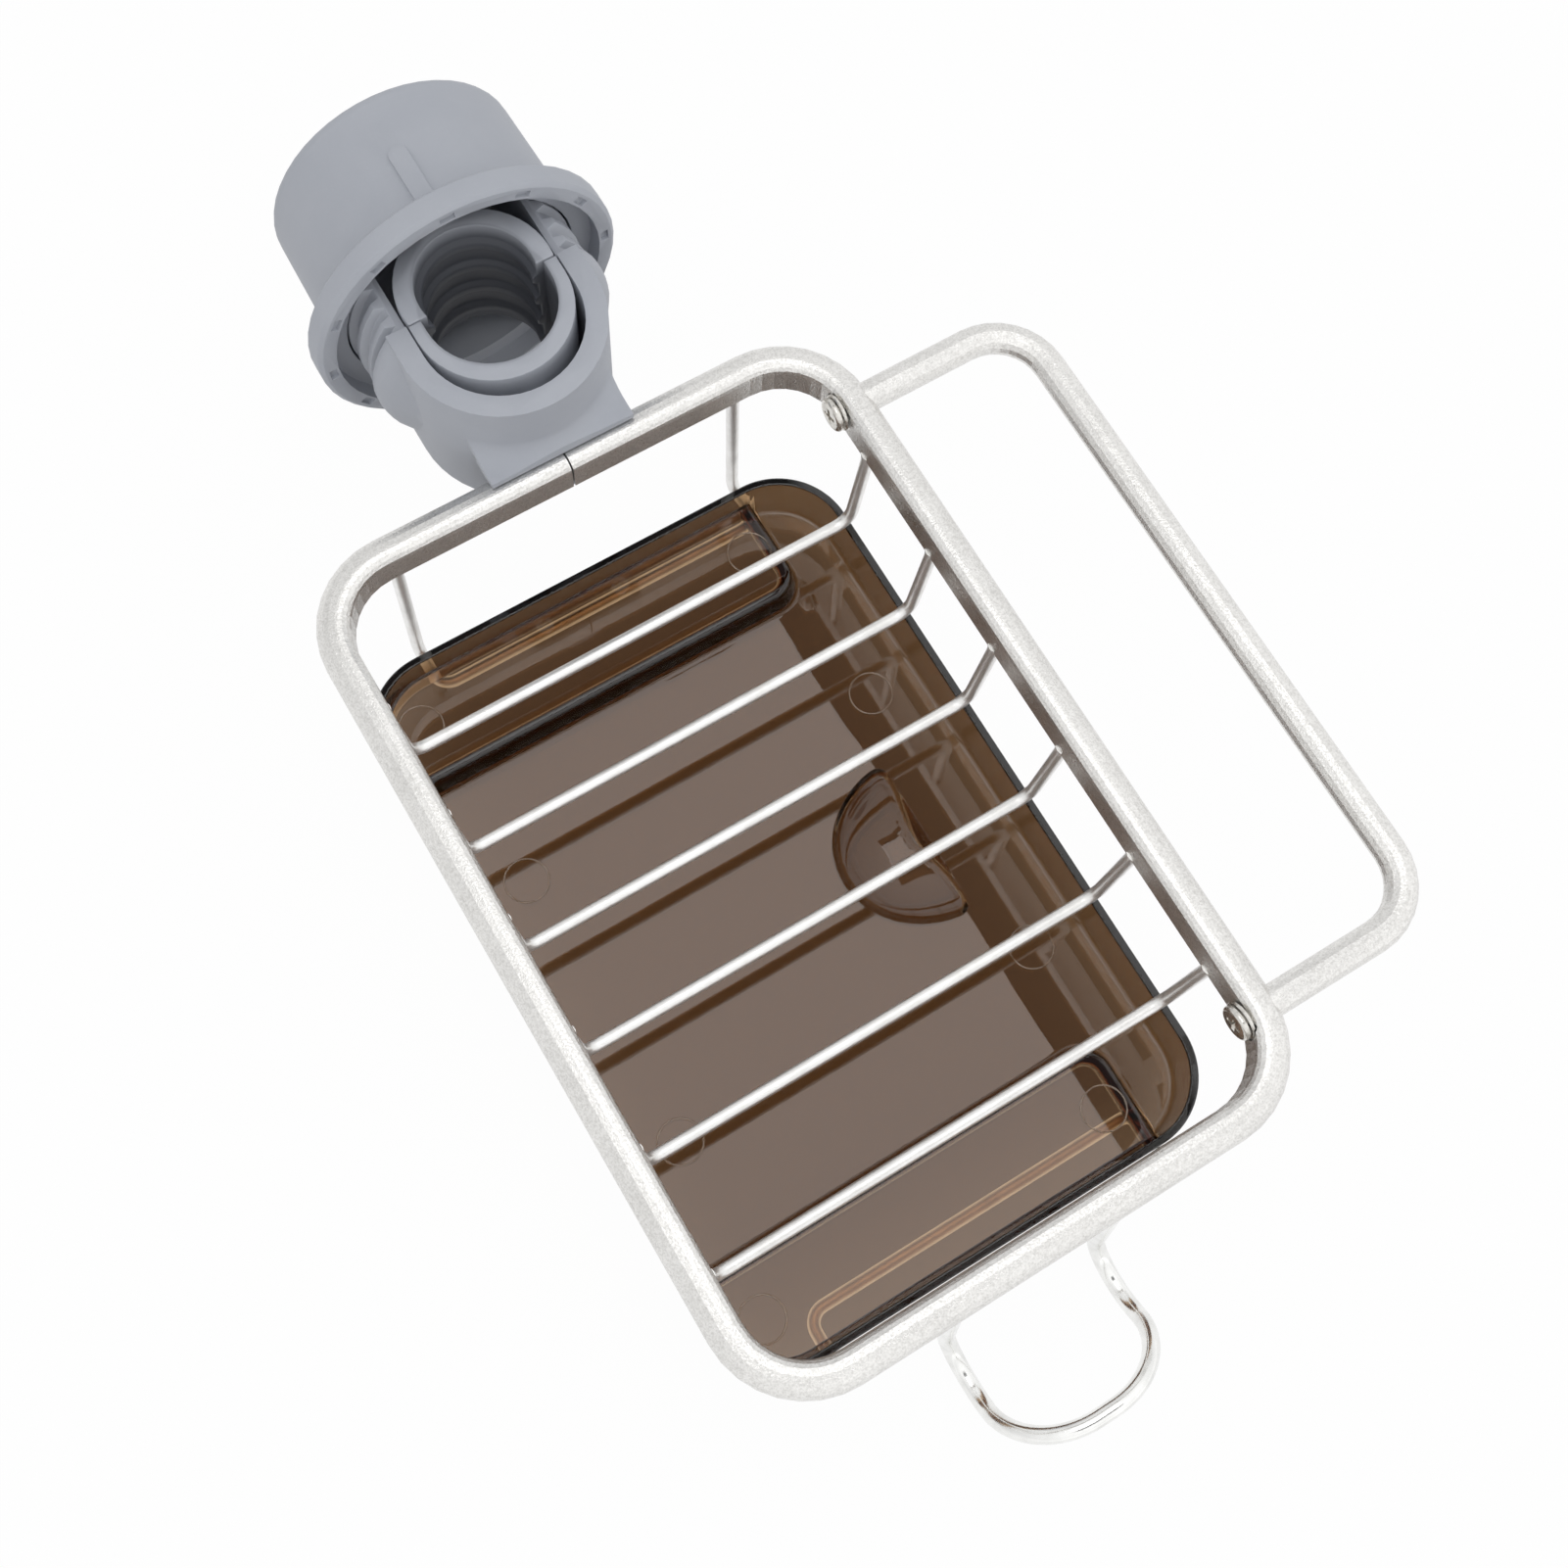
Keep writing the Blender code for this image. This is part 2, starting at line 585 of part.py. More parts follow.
# Rounded box that narrows towards its floor, used for the tray's outside and for its hollow
def tray_form(name, inset, low, high):
    middle_y = -FRAME_CENTRE_FROM_PIPE + TRAY_OFFSET_Y
    half_x = TRAY_WIDTH / 2 - inset
    half_y = TRAY_LENGTH / 2 - inset
    radius = TRAY_CORNER_RADIUS - inset
    rim = -TRAY_RIM_DROP
    loops = []
    for level in (low, high):
        lean = TRAY_DRAFT * (rim - level) / TRAY_HEIGHT
        low_corner = (TRAY_OFFSET_X - half_x + lean, middle_y - half_y + lean)
        high_corner = (TRAY_OFFSET_X + half_x - lean, middle_y + half_y - lean)
        outline = rounded_rectangle(low_corner, high_corner, radius)
        loops.append([(x, y, level) for x, y in outline])
    return loft(name, loops)


# Outline of one raised end block, reaching past the tray's end and left walls
def block_outline(side, inset):
    middle_y = -FRAME_CENTRE_FROM_PIPE + TRAY_OFFSET_Y
    end = middle_y + side * (TRAY_LENGTH / 2 + PAST)
    front = middle_y + side * (TRAY_LENGTH / 2 - TRAY_BLOCK_DEPTH - TRAY_WALL + inset)
    left = TRAY_OFFSET_X - TRAY_WIDTH / 2 - PAST
    right = TRAY_OFFSET_X + TRAY_WIDTH / 2 - TRAY_WALL - TRAY_BLOCK_END_GAP - inset
    radius = TRAY_BLOCK_CORNER - inset
    corner = (right - radius, front + side * radius)
    start = 0 if side > 0 else math.pi / 2
    turn_by = -math.pi / 2
    outline = arc(corner, radius, start, start + turn_by, BEND_STEPS)
    if side > 0:
        return [(right, end)] + outline + [(left, front), (left, end)]
    return [(left, end), (left, front)] + outline + [(right, end)]


# Outline of the half-moon finger pocket: a straight wall towards +X and a bulge away from it
def pocket_outline(inset):
    middle_y = -FRAME_CENTRE_FROM_PIPE + TRAY_POCKET_CENTRE_Y
    wall = TRAY_POCKET_WALL_X - inset
    half = TRAY_POCKET_WIDTH / 2 - inset
    reach = TRAY_POCKET_REACH - 2 * inset
    outline = []
    for index in range(POCKET_STEPS + 1):
        angle = math.pi / 2 + math.pi * index / POCKET_STEPS
        outline.append((wall + reach * math.cos(angle), middle_y + half * math.sin(angle)))
    return outline


# A raised end block, its top edge rounded over
def block_form(name, side, low, high):
    loops = [[(x, y, low) for x, y in block_outline(side, 0)]]
    edge = TRAY_BLOCK_EDGE_ROUND
    for index in range(EDGE_STEPS + 1):
        angle = math.pi / 2 * index / EDGE_STEPS
        level = high - edge + edge * math.sin(angle)
        loops.append([(x, y, level) for x, y in block_outline(side, edge - edge * math.cos(angle))])
    return loft(name, loops)


# The finger pocket's crowned form, rising from the level low
def pocket_form(name, inset, base, low, height):
    loops = [[(x, y, base) for x, y in pocket_outline(inset)]]
    for up, crown in zip(POCKET_HEIGHT_SHARES, POCKET_CROWN_SHARES):
        outline = pocket_outline(inset + crown * TRAY_POCKET_CROWN)
        loops.append([(x, y, low + up * height) for x, y in outline])
    return loft(name, loops)


def build_tray(materials):
    rim = -TRAY_RIM_DROP
    bottom = rim - TRAY_HEIGHT
    floor = bottom + TRAY_WALL
    block_top = rim - TRAY_BLOCK_RIM_STEP
    tray = tray_form("drip_tray", 0, bottom, rim)
    hollow = tray_form("hollow", TRAY_WALL, floor, rim + PAST)
    for side in (1, -1):
        combine(hollow, block_form("block", side, bottom - PAST, block_top), "DIFFERENCE")
    pocket = pocket_form("pocket", 0, bottom - PAST, floor, TRAY_POCKET_HEIGHT)
    combine(hollow, pocket, "DIFFERENCE")
    combine(tray, hollow, "DIFFERENCE")
    for side in (1, -1):
        under = prism("under", block_outline(side, TRAY_WALL), bottom - PAST, block_top - TRAY_WALL)
        combine(under, tray_form("limit", TRAY_WALL, bottom - 2 * PAST, rim), "INTERSECT")
        combine(tray, under, "DIFFERENCE")
    scoop = pocket_form("scoop", TRAY_WALL, bottom - PAST, bottom, TRAY_POCKET_HEIGHT)
    combine(tray, scoop, "DIFFERENCE")
    origin = (TRAY_OFFSET_X, -FRAME_CENTRE_FROM_PIPE + TRAY_OFFSET_Y, bottom)
    finish(tray, origin, materials["smoked"])


def u_outline(radius, end):
    front = arc((0, U_CENTRE_Y), radius, -math.pi, 0, ROUND_STEPS // 2)
    return front + [(radius, end), (-radius, end)]


def thread_profile():
    root_y = (U_CENTRE_Y + U_FACE_END_Y) / 2
    profile = [(0, root_y), (THREAD_ROOT_RADIUS, root_y)]
    rise = (THREAD_RIDGE_BASE - THREAD_RIDGE_CREST) / 2
    start = THREAD_START_Y
    while start + THREAD_RIDGE_BASE < ARM_END_Y:
        profile.append((THREAD_ROOT_RADIUS, start))
        profile.append((THREAD_CREST_RADIUS, start + rise))
        profile.append((THREAD_CREST_RADIUS, start + rise + THREAD_RIDGE_CREST))
        profile.append((THREAD_ROOT_RADIUS, start + THREAD_RIDGE_BASE))
        start += THREAD_PITCH
    profile.append((THREAD_ROOT_RADIUS, ARM_END_Y))
    profile.append((0, ARM_END_Y))
    return profile


# The shoulder swells from the U's wall to the first ridge in an S curve
def shoulder_profile():
    profile = [(0, SHOULDER_START_Y), (U_INNER_RADIUS, SHOULDER_START_Y)]
    wall = math.sqrt(U_OUTER_RADIUS ** 2 - (U_CENTRE_Y - SHOULDER_START_Y) ** 2) - SEAT
    for index in range(BEND_STEPS + 1):
        share = index / BEND_STEPS
        swell = share * share * (3 - 2 * share)
        radius = wall + (SHOULDER_RADIUS - wall) * swell
        profile.append((radius, SHOULDER_START_Y + (SHOULDER_END_Y - SHOULDER_START_Y) * share))
    profile += [(SHOULDER_RADIUS, U_FACE_END_Y), (0, U_FACE_END_Y)]
    return profile


def build_clamp_body(materials):
    half = CLAMP_HALF_HEIGHT
    wide = THREAD_CREST_RADIUS * 2
    bar_outer = -FRAME_CENTRE_FROM_PIPE + FRAME_LENGTH / 2
    body = prism("clamp_body", u_outline(U_OUTER_RADIUS, U_FACE_END_Y), -U_LOW_END, half)
    shoulder = turn("shoulder", shoulder_profile(), (0, 0, 0), True)
    combine(shoulder, box("slab", (-wide, -wide, -half), (wide, wide, half)), "INTERSECT")
    combine(body, shoulder, "UNION")
    top_lip = box("lip", (-FOOT_HALF_WIDTH, bar_outer - FOOT_FRONT_INSET, -PAST),
                  (FOOT_HALF_WIDTH, bar_outer + BAR_WIDTH / 2, FOOT_THICKNESS + SEAT))
    combine(body, top_lip, "UNION")
    low_z = -BAR_HEIGHT - SEAT - LOWER_LIP_THICKNESS
    low_lip = box("lip", (-LOWER_LIP_HALF_WIDTH, bar_outer - LOWER_LIP_REACH, low_z),
                  (LOWER_LIP_HALF_WIDTH, bar_outer + BAR_WIDTH / 2, -BAR_HEIGHT + PAST))
    combine(body, low_lip, "UNION")
    combine(body, build_flare(bar_outer), "UNION")
    groove_path = [(-wide, bar_outer - BAR_WIDTH / 2, -BAR_HEIGHT / 2),
                   (wide, bar_outer - BAR_WIDTH / 2, -BAR_HEIGHT / 2)]
    combine(body, sweep("groove", groove_path, bar_section(SEAT), (0, 1, 0)), "DIFFERENCE")
    arms = turn("arms", thread_profile(), (0, 0, 0), True)
    arm_half = ARM_HALF_HEIGHT
    combine(arms, box("slab", (-wide, -wide, -arm_half), (wide, wide, arm_half)), "INTERSECT")
    combine(body, arms, "UNION")
    throat = prism("throat", u_outline(U_INNER_RADIUS, ARM_END_Y + PAST), -U_LOW_END - PAST, half + PAST)
    combine(body, throat, "DIFFERENCE")
    place_y = bar_outer - CLAMP_SCREW_INSET
    for side in (-1, 1):
        place_x = side * CLAMP_SCREW_SPACING / 2
        start = (place_x, place_y, low_z - PAST)
        end = (place_x, place_y, -BAR_HEIGHT + CLAMP_SCREW_REACH)
        hole = cylinder("hole", start, end, CLAMP_SCREW_HOLE_DIAMETER)
        combine(body, hole, "DIFFERENCE")
    finish(body, (0, 0, 0), materials["plastic"])
    head_z = low_z - SEAT
    shank = LOWER_LIP_THICKNESS + SEAT + SEAT + CLAMP_SCREW_REACH
    profile = pan_profile(CLAMP_HEAD_DIAMETER / 2, CLAMP_HEAD_HEIGHT, CLAMP_SCREW_DIAMETER / 2, shank)
    profile = [(radius, head_z - height) for radius, height in profile]
    for index, side in enumerate((-1, 1)):
        centre = (side * CLAMP_SCREW_SPACING / 2, place_y, 0)
        screw = turn("clamp_screw_" + str(index + 1), profile, centre, False, ROD_STEPS)
        finish(screw, (centre[0], centre[1], head_z), materials["nickel"])


# The hollow curve from the U's wall down to the foot on the bar
def build_flare(bar_outer):
    foot_top = FOOT_THICKNESS + SEAT
    wall = U_OUTER_RADIUS
    inside = wall - FLARE_RADIUS / 2
    centre = (wall + FLARE_RADIUS - PAST / 2, foot_top + FLARE_RADIUS)
    curve = arc(centre, FLARE_RADIUS, math.pi, math.pi * 3 / 2, BEND_STEPS)
    low = foot_top - PAST
    profile = [(inside, low), (inside, foot_top + FLARE_RADIUS)] + curve
    profile.append((wall + FLARE_RADIUS - PAST / 2, low))
    flare = turn("flare", profile, (0, U_CENTRE_Y, 0), False)
    front = bar_outer - FOOT_FRONT_INSET
    low_corner = (-FOOT_HALF_WIDTH, front, low - PAST)
    high_corner = (FOOT_HALF_WIDTH, U_CENTRE_Y - FOOT_HALF_WIDTH / 2, foot_top + 2 * FLARE_RADIUS)
    combine(flare, box("limit", low_corner, high_corner), "INTERSECT")
    return flare


def build_liner(materials):
    half = CLAMP_HALF_HEIGHT
    steps = ROUND_STEPS // 2
    end = U_FACE_END_Y - SEAT
    inner = arc((0, LINER_INNER_CENTRE_Y), LINER_INNER_RADIUS, 0, -math.pi, steps)
    outer = arc((0, LINER_OUTER_CENTRE_Y), LINER_OUTER_RADIUS, -math.pi, 0, steps)
    outline = outer + [(LINER_OUTER_RADIUS, end), (LINER_INNER_RADIUS, end)] + inner
    outline += [(-LINER_INNER_RADIUS, end), (-LINER_OUTER_RADIUS, end)]
    liner = prism("clamp_liner", outline, -half, half)
    seat_y = U_CENTRE_Y - U_INNER_RADIUS + SEAT
    low = (-LINER_RIB_HALF_WIDTH, seat_y, -half + LINER_RIB_FOOT_RISE)
    back = LINER_OUTER_CENTRE_Y - LINER_OUTER_RADIUS + PAST
    high = (LINER_RIB_HALF_WIDTH, back, half - LINER_RIB_TOP_DROP)
    combine(liner, box("rib", low, high), "UNION")
    finish(liner, (0, 0, 0), materials["plastic"])


def pusher_profile():
    half = CLAMP_HALF_HEIGHT
    profile = [(PUSHER_OUTER_RADIUS, -half), (PUSHER_OUTER_RADIUS, half), (PUSHER_INNER_RADIUS, half)]
    band = PUSHER_RING_BAND / 2
    for share in reversed(PUSHER_RING_SHARES):
        level = share * half
        ring = PUSHER_INNER_RADIUS - PUSHER_RING_HEIGHT
        profile.append((PUSHER_INNER_RADIUS, level + PUSHER_RING_BAND))
        profile.append((ring, level + band))
        profile.append((ring, level - band))
        profile.append((PUSHER_INNER_RADIUS, level - PUSHER_RING_BAND))
    profile.append((PUSHER_INNER_RADIUS, -half))
    return profile


def build_pusher(materials):
    wide = PUSHER_OUTER_RADIUS * 2
    half = CLAMP_HALF_HEIGHT + PAST
    pusher = turn("clamp_pusher", pusher_profile(), (0, PUSHER_CENTRE_Y, 0), False)
    start = U_FACE_END_Y
    keep = box("keep", (-wide, start, -half), (wide, start + wide, half))
    combine(pusher, keep, "INTERSECT")
    end_face = CAP_END_Y - CAP_END_WALL - SEAT
    head_back = end_face - COLLAR_LENGTH + COLLAR_LIP + 2 * SEAT
    back = PUSHER_CENTRE_Y + (PUSHER_INNER_RADIUS + PUSHER_OUTER_RADIUS) / 2
    stem_profile = [(0, back), (PUSHER_NECK_RADIUS, back), (PUSHER_NECK_RADIUS, head_back),
                    (PUSHER_HEAD_RADIUS, head_back), (PUSHER_HEAD_RADIUS, end_face), (0, end_face)]
    stem = turn("stem", stem_profile, (0, 0, 0), True, ROUND_STEPS // 2)
    combine(pusher, stem, "UNION")
    finish(pusher, (0, PUSHER_CENTRE_Y, 0), materials["plastic"])


def cap_profile():
    quarter = math.pi / 2
    back = FLANGE_FRONT_Y + FLANGE_LENGTH
    edge = CAP_EDGE_ROUND
    profile = [(SKIRT_RADIUS, FLANGE_FRONT_Y), (FLANGE_RADIUS - edge, FLANGE_FRONT_Y)]
    profile += [(FLANGE_RADIUS, FLANGE_FRONT_Y + edge), (FLANGE_RADIUS, back - edge)]
    profile += [(FLANGE_RADIUS - edge, back), (CAP_MOUTH_RADIUS + edge, back), (CAP_MOUTH_RADIUS, back + edge)]
    round_centre = (CAP_END_RADIUS - CAP_END_ROUND, CAP_END_Y - CAP_END_ROUND)
    profile += arc(round_centre, CAP_END_ROUND, 0, quarter, EDGE_STEPS + 1)
    inner_end = CAP_END_Y - CAP_END_WALL
    collar_face = inner_end - COLLAR_LENGTH
    head_room = PUSHER_HEAD_RADIUS + SEAT
    neck_room = PUSHER_NECK_RADIUS + SEAT
    profile += [(0, CAP_END_Y), (0, inner_end), (head_room, inner_end)]
    profile += [(head_room, collar_face + COLLAR_LIP), (neck_room, collar_face + COLLAR_LIP)]
    profile += [(neck_room, collar_face), (COLLAR_RADIUS, collar_face), (COLLAR_RADIUS, inner_end)]
    profile += [(CAP_BORE_RADIUS, inner_end), (CAP_BORE_RADIUS, FLANGE_FRONT_Y + SKIRT_DEPTH)]
    profile += [(SKIRT_RADIUS, FLANGE_FRONT_Y + SKIRT_DEPTH)]
    return profile


# One grip rib on the cup: a bar with a rounded nose, raised a little from the tapered wall
def build_cap_rib(angle):
    half = CAP_RIB_WIDTH / 2
    start = FLANGE_FRONT_Y + FLANGE_LENGTH - CAP_EDGE_ROUND
    nose = start + CAP_RIB_LENGTH - half
    outline = [(-half, start)] + [(half, start)]
    outline += arc((0, nose), half, 0, math.pi, BEND_STEPS)
    taper = (CAP_MOUTH_RADIUS - CAP_END_RADIUS) / (CAP_END_Y - start)
    foot = CAP_BORE_RADIUS + (CAP_MOUTH_RADIUS - CAP_BORE_RADIUS) / 2
    bottom = [(x, y, foot) for x, y in outline]
    top = [(x, y, CAP_MOUTH_RADIUS + CAP_RIB_RISE - taper * (y - start)) for x, y in outline]
    rib = loft("rib", [bottom, top])
    rib.data.transform(Matrix.Rotation(math.pi / 2 - angle, 4, "Y"))
    return rib


def build_cap(materials):
    cap = turn("clamp_cap", cap_profile(), (0, 0, 0), True)
    for index in range(CAP_RIB_COUNT):
        angle = CAP_RIB_ANGLE + math.tau * index / CAP_RIB_COUNT
        combine(cap, build_cap_rib(angle), "UNION")
    for index in range(NOTCH_COUNT):
        low = (-NOTCH_WIDTH / 2, FLANGE_FRONT_Y - PAST, NOTCH_RADIUS - NOTCH_HEIGHT / 2)
        high = (NOTCH_WIDTH / 2, FLANGE_FRONT_Y + NOTCH_DEPTH, NOTCH_RADIUS + NOTCH_HEIGHT / 2)
        notch = box("notch", low, high)
        angle = NOTCH_FIRST_ANGLE + math.tau * index / NOTCH_COUNT
        notch.data.transform(Matrix.Rotation(math.pi / 2 - angle, 4, "Y"))
        combine(cap, notch, "DIFFERENCE")
    finish(cap, (0, CAP_END_Y, 0), materials["plastic"])


def main():
    clear_scene()
    materials = {
        "aluminium": make_material("aluminium", (0.72, 0.71, 0.69), 1, 0.38, 1),
        "wire": make_material("wire", (0.74, 0.73, 0.71), 1, 0.3, 1),
        "chrome": make_material("chrome", (0.8, 0.8, 0.79), 1, 0.16, 1),
        "nickel": make_material("nickel", (0.7, 0.69, 0.67), 1, 0.22, 1),
        "plastic": make_material("plastic", (0.37, 0.39, 0.42), 0, 0.42, 1),
        "smoked": make_material("smoked", (0.13, 0.1, 0.08), 0, 0.12, 0.72),
    }
    build_frame(materials)
    build_crossbars(materials)
    build_towel_loop(materials)
    build_hangers(materials)
    build_hook(materials)
    build_tray(materials)
    build_clamp_body(materials)
    build_liner(materials)
    build_pusher(materials)
    build_cap(materials)


main()
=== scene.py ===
import json
import math

import bmesh
import bpy
from mathutils import Matrix, Vector
from mathutils.geometry import delaunay_2d_cdt


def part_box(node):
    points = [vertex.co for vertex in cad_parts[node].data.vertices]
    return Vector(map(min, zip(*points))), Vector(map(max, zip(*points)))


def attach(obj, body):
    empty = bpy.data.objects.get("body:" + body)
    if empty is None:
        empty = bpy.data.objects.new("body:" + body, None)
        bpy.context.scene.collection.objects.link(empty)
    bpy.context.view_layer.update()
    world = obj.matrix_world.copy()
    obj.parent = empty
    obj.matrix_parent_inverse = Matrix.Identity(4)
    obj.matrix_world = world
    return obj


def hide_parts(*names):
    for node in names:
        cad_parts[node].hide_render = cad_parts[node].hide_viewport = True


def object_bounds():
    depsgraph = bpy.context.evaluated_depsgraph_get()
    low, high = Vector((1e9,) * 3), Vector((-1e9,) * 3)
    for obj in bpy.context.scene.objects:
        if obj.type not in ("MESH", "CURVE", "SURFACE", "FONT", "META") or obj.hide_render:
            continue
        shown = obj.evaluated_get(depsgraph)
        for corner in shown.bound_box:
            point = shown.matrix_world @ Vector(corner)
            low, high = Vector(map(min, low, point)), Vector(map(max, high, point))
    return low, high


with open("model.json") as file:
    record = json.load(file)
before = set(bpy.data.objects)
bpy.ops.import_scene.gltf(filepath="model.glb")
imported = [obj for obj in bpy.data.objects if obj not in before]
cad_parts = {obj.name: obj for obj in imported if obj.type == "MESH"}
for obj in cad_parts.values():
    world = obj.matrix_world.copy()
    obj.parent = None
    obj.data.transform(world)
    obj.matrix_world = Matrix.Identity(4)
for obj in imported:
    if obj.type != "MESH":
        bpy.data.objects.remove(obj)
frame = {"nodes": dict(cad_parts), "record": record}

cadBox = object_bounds()
nodes = frame["nodes"]


# one value or colour travelling through a node tree
class Signal:
    def __init__(self, tree, socket):
        self.tree = tree
        self.socket = socket

    def work(self, operation, first, second):
        return self.tree.add("ShaderNodeMath", {"operation": operation}, {0: first, 1: second})

    def __add__(self, other):
        return self.work("ADD", self, other)

    def __radd__(self, other):
        return self.work("ADD", other, self)

    def __sub__(self, other):
        return self.work("SUBTRACT", self, other)

    def __rsub__(self, other):
        return self.work("SUBTRACT", other, self)

    def __mul__(self, other):
        return self.work("MULTIPLY", self, other)

    def __rmul__(self, other):
        return self.work("MULTIPLY", other, self)

    def __truediv__(self, other):
        return self.work("DIVIDE", self, other)

    def __rtruediv__(self, other):
        return self.work("DIVIDE", other, self)

    def __pow__(self, other):
        return self.work("POWER", self, other)

    def between(self, low, high):
        return self.work("MINIMUM", self.work("MAXIMUM", self, low), high)

    def ramp(self, low, high):
        return ((self - low) / (high - low)).between(0, 1)

    def window(self, start, full, fade, end):
        return self.ramp(start, full) * (1 - self.ramp(fade, end))


class Tree:
    def __init__(self, tree):
        self.tree = tree
        self.tree.nodes.clear()

    def feed(self, socket, value):
        if isinstance(value, Signal):
            self.tree.links.new(value.socket, socket)
        elif isinstance(value, (tuple, list)) and len(value) == 3 and socket.type == "RGBA":
            socket.default_value = (value[0], value[1], value[2], 1)
        else:
            socket.default_value = value

    def add(self, kind, settings, values, output=0):
        node = self.tree.nodes.new(kind)
        for name, value in settings.items():
            if name == "stops":
                ramp = node.color_ramp
                while len(ramp.elements) < len(value):
                    ramp.elements.new(1)
                for element, (place, colour) in zip(ramp.elements, value):
                    element.position = place
                    element.color = (colour[0], colour[1], colour[2], 1)
            else:
                setattr(node, name, value)
        for name, value in values.items():
            self.feed(node.inputs[name], value)
        return Signal(self, node.outputs[output]) if node.outputs else None

    def blend(self, share, first, second):
        return self.add("ShaderNodeMix", {"data_type": "RGBA"}, {0: share, 6: first, 7: second}, 2)

    def noise(self, place, size, detail, rough):
        values = {"Vector": place, "Scale": 1 / size, "Detail": detail, "Roughness": rough}
        return self.add("ShaderNodeTexNoise", {}, values)

    def bump(self, height, distance):
        values = {"Height": height, "Distance": distance, "Strength": 1}
        return self.add("ShaderNodeBump", {}, values)


def newMaterial(name):
    material = bpy.data.materials.new(name)
    material.use_nodes = True
    tree = Tree(material.node_tree)
    place = tree.add("ShaderNodeTexCoord", {}, {}, "Object")
    return material, tree, place


def closeMaterial(tree, values, volume=None):
    surface = tree.add("ShaderNodeBsdfPrincipled", {}, values)
    ends = {"Surface": surface}
    if volume is not None:
        ends["Volume"] = volume
    tree.add("ShaderNodeOutputMaterial", {}, ends)


# bead-blasted bar and towel rod: fine sparkle, faint clouds
satin = {"colour": (0.87, 0.86, 0.84), "dull": (0.6, 0.59, 0.57), "smooth": 0.26, "rough": 0.42,
         "grain": 0.00045, "grainShare": 0.45, "fleck": 0.00108, "fleckShare": 0.25, "cloud": 0.012,
         "cloudShare": 0.15, "height": 0.0001}


def satinAluminium():
    material, tree, place = newMaterial("satinAluminium")
    grain = tree.noise(place, satin["grain"], 2, 0.6)
    cloud = tree.noise(place, satin["cloud"], 3, 0.6)
    fleck = tree.noise(place, satin["fleck"], 2, 0.6)
    share = cloud.ramp(0.35, 0.7) * satin["cloudShare"] + grain.ramp(0.42, 0.62) * satin["grainShare"]
    share = share + fleck.ramp(0.45, 0.65) * satin["fleckShare"]
    colour = tree.blend(share, satin["colour"], satin["dull"])
    rough = satin["smooth"] + grain.ramp(0.3, 0.7) * (satin["rough"] - satin["smooth"])
    normal = tree.bump(grain, satin["height"])
    closeMaterial(tree, {"Base Color": colour, "Metallic": 1.0, "Roughness": rough, "Normal": normal})
    return material


# wire under a satin plating
drawn = {"colour": (0.94, 0.935, 0.92), "dull": (0.82, 0.81, 0.79), "smooth": 0.32, "rough": 0.46,
         "grain": 0.0005, "cloud": 0.006, "height": 0.00005}


def drawnWire():
    material, tree, place = newMaterial("drawnWire")
    grain = tree.noise(place, drawn["grain"], 3, 0.6)
    cloud = tree.noise(place, drawn["cloud"], 3, 0.6)
    colour = tree.blend(cloud.ramp(0.4, 0.75), drawn["colour"], drawn["dull"])
    rough = drawn["smooth"] + cloud * (drawn["rough"] - drawn["smooth"])
    normal = tree.bump(grain, drawn["height"])
    closeMaterial(tree, {"Base Color": colour, "Metallic": 0.9, "Roughness": rough, "Normal": normal})
    return material


# brighter hook with ripples left by polishing
polished = {"colour": (0.92, 0.92, 0.905), "dull": (0.78, 0.78, 0.765), "smooth": 0.1, "rough": 0.22,
            "ripple": 0.004, "grain": 0.0006, "grainShare": 0.25, "height": 0.00004}


def polishedHook():
    material, tree, place = newMaterial("polishedHook")
    ripple = tree.noise(place, polished["ripple"], 3, 0.5)
    grain = tree.noise(place, polished["grain"], 2, 0.5)
    rough = polished["smooth"] + ripple * (polished["rough"] - polished["smooth"])
    normal = tree.bump(ripple + grain * polished["grainShare"], polished["height"])
    colour = tree.blend(ripple.ramp(0.4, 0.8), polished["colour"], polished["dull"])
    closeMaterial(tree, {"Base Color": colour, "Metallic": 1.0, "Roughness": rough, "Normal": normal})
    return material


# nickel on the screws and washers, darker in patches
plated = {"colour": (0.74, 0.72, 0.68), "dark": (0.4, 0.375, 0.34), "smooth": 0.13, "rough": 0.3,
          "grain": 0.0004, "cloud": 0.0015, "height": 0.00001}


def platedSteel():
    material, tree, place = newMaterial("platedSteel")
    cloud = tree.noise(place, plated["cloud"], 3, 0.6)
    colour = tree.blend(cloud.ramp(0.5, 0.85), plated["colour"], plated["dark"])
    rough = plated["smooth"] + cloud * (plated["rough"] - plated["smooth"])
    normal = tree.bump(tree.noise(place, plated["grain"], 2, 0.5), plated["height"])
    closeMaterial(tree, {"Base Color": colour, "Metallic": 1.0, "Roughness": rough, "Normal": normal})
    return material


# matte blue-grey plastic with a fine moulded grain, and painted shade inside the bore; liner and pusher are
# circles, by centre and radius
moulded = {"colour": (0.34, 0.357, 0.398), "pale": (0.387, 0.404, 0.442), "boreShadeColour": (0.05, 0.054, 0.066),
           "smooth": 0.46, "rough": 0.62, "specular": 0.4, "cloud": 0.015, "cloudShare": 0.6,
           "speck": 0.0007, "speckShare": 0.3, "height": 0.000018, "liner": (0.0011, 0.0148),
           "pusher": (0.0069, 0.0134), "fade": 0.0005, "shadeTop": (0.0135, 0.0195), "shade": 0.9}


